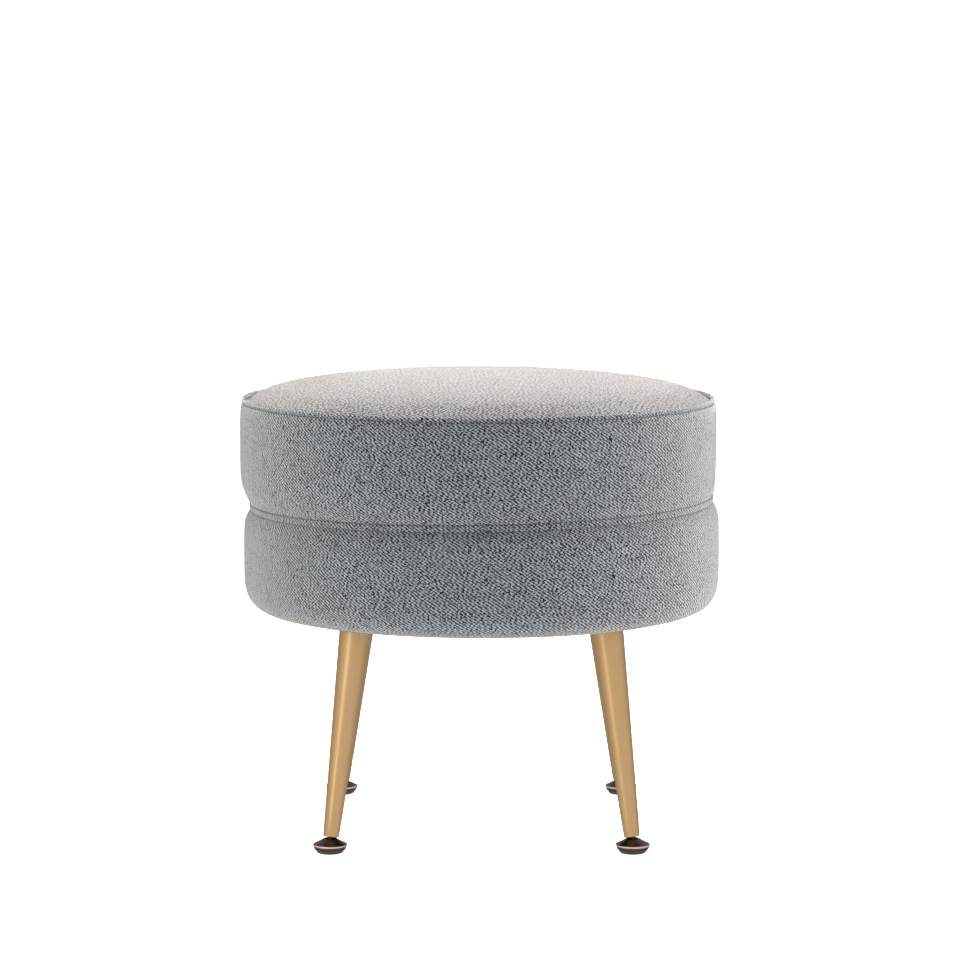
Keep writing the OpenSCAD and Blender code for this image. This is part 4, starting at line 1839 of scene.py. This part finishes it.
@dataclass
class Studio:
    """Glowing paper floor, soft boxes and the photograph's camera."""

    camera_place: Place = (-0.0015, -3.738, 0.778)
    camera_tilt: float = 83.70
    lens: float = 133.95
    sensor: float = 36.0
    floor_radius: float = 14.0
    paper: tuple[Colour, Colour] = ((0.90, 0.90, 0.90), (0.93, 0.93, 0.93))
    paper_glow: float = 0.95
    paper_light: float = 0.35
    sky_glow: float = 0.1
    white: float = 1.05
    mirrored: Pair = (0.98, 0.46)
    mirrored_span: Pair = (-0.3, 0.8)
    boxes: tuple[SoftBox, ...] = (
        SoftBox("back_right_box", (2.0, 2.0, 0.95), 98.0),
        SoftBox("right_box", (2.6, 0.3, 0.95), 50.0),
        SoftBox("left_box", (-2.6, 0.3, 0.95), 35.0),
        SoftBox("low_right_box", (2.0, 0.9, 0.45), 7.0, (0.5, 1.0)),
        SoftBox("back_left_box", (-2.0, 2.0, 0.95), 38.0),
        SoftBox("front_box", (0.0, -3.0, 1.0), 21.0, (2.0, 2.0)),
        SoftBox("top_box", (0.0, 0.0, 2.9), 24.0, (2.0, 2.0)),
        SoftBox("seat_box", (0.0, 0.3, 2.4), 2.6, (0.6, 0.6), SEAT_MIDDLE, 22.0, WARM_WHITE),
        SoftBox("back_seat_box", (0.0, 2.0, 1.5), 1.1, (0.9, 0.5), SEAT_MIDDLE, 25.0, WARM_WHITE),
        SoftBox("strip_box", (-1.75, -2.15, 0.5), 6.5, (0.24, 1.5), (0.0, 0.0, 0.15), glossy=True))

    def build(self) -> None:
        """Builds the floor, the world, the lights and the camera."""
        self._floor()
        self._world()
        for box in self.boxes:
            box.build()
        bpy.ops.object.camera_add(location=self.camera_place,
                                  rotation=(math.radians(self.camera_tilt), 0, 0))
        camera = named("photo_camera")
        camera.data.lens = self.lens
        camera.data.sensor_width = self.sensor
        bpy.context.scene.camera = camera
        bpy.context.scene.view_settings.view_transform = "Standard"

    def _floor(self) -> None:
        """Lays a round floor of white paper, which shows brighter to the camera than it lights."""
        deselect()
        bpy.ops.mesh.primitive_circle_add(vertices=96, radius=self.floor_radius, fill_type="NGON")
        floor = named("studio_floor")
        with editing(floor):
            bpy.ops.mesh.inset(thickness=self.floor_radius / 2)
        g = Graph("studio_paper")
        tone = g.cloud(g.place(), scale=3.0, detail=2.0)
        seen = g.add("LightPath").outputs["Is Camera Ray"]
        g.set(Base_Color=g.blend(tone, *self.paper), Roughness=0.9, Specular_IOR_Level=0.1,
              Emission_Color=WHITE, Emission_Strength=g.between(seen, self.paper_light, self.paper_glow))
        floor.data.materials.append(g.material)
        floor.visible_glossy = False

    def _world(self) -> None:
        """Makes the sky white to the camera, faint as a light, and darker behind in reflections."""
        world = bpy.data.worlds.new("studio_light")
        bpy.context.scene.world = world
        world.use_nodes = True
        sky = Nodes(world.node_tree)
        backwards = sky.split(sky.add("TexCoord").outputs["Generated"])[1]
        mirrored = sky.add("MapRange", backwards, *self.mirrored_span, *self.mirrored).outputs[0]
        ray = sky.add("LightPath").outputs
        shown = sky.add("Background", WHITE, self.sky_glow).outputs[0]
        for kind, strength in (("Is Glossy Ray", mirrored), ("Is Camera Ray", self.white)):
            glow = sky.add("Background", WHITE, strength).outputs[0]
            shown = sky.add("MixShader", ray[kind], shown, glow).outputs[0]
        sky.add("OutputWorld", shown)


def main() -> None:
    """Loads the frame and builds the ottoman and its studio round it."""
    logging.basicConfig(level=logging.INFO, format="%(relativeCreated)6.0f ms  %(message)s")
    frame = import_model()
    shape = Shape()
    pull = Pull(shape)
    twill, thread = TwillCloth().make(), Thread().make()
    foam, wadding, dust = Foam().make(), Wadding().make(), DustCloth().make()
    brass, zinc, plywood = BrushedBrass().make(), ZincSteel().make(), Plywood().make()
    # The stems' zinc is darkened far below its own grey, as painted shade for the dark gap under each leg's
    # end
    stems = ZincSteel("black_zinc_steel", deep=(0.045, 0.032, 0.028), pale=(0.085, 0.065, 0.055)).make()
    pad = Plastic("slate_plastic", colour=(0.020, 0.021, 0.030), dusty=(0.040, 0.041, 0.052)).make()
    ball = Plastic("ivory_plastic", colour=(0.60, 0.58, 0.52), dusty=(0.48, 0.46, 0.40)).make()
    low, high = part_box("swivel_ball_back_right")
    legs = Legs(brass, ball_out=math.hypot((low.x + high.x) / 2, (low.y + high.y) / 2))
    for part in (
            Covers(shape, pull, twill),
            Seams(shape, pull, twill, thread),
            Padding(shape, pull, foam, wadding),
            Underside(shape, dust, zinc),
            legs,
            Glides(legs, stems, pad),
            Woodwork(frame["nodes"], {
                "seat_deck": plywood, "base_board": plywood, "upright": plywood, "waist_ring": plywood,
                "side_wall": Fibreboard().make(), "leg_plate": brass, "plate_screws": zinc,
                "deck_screws": zinc, "base_screws": zinc, "foot_insert": zinc, "swivel_ball": ball}),
            Studio()):
        LOG.info("building the %s", type(part).__name__.lower())
        part.build()


if __name__ == "__main__":
    main()
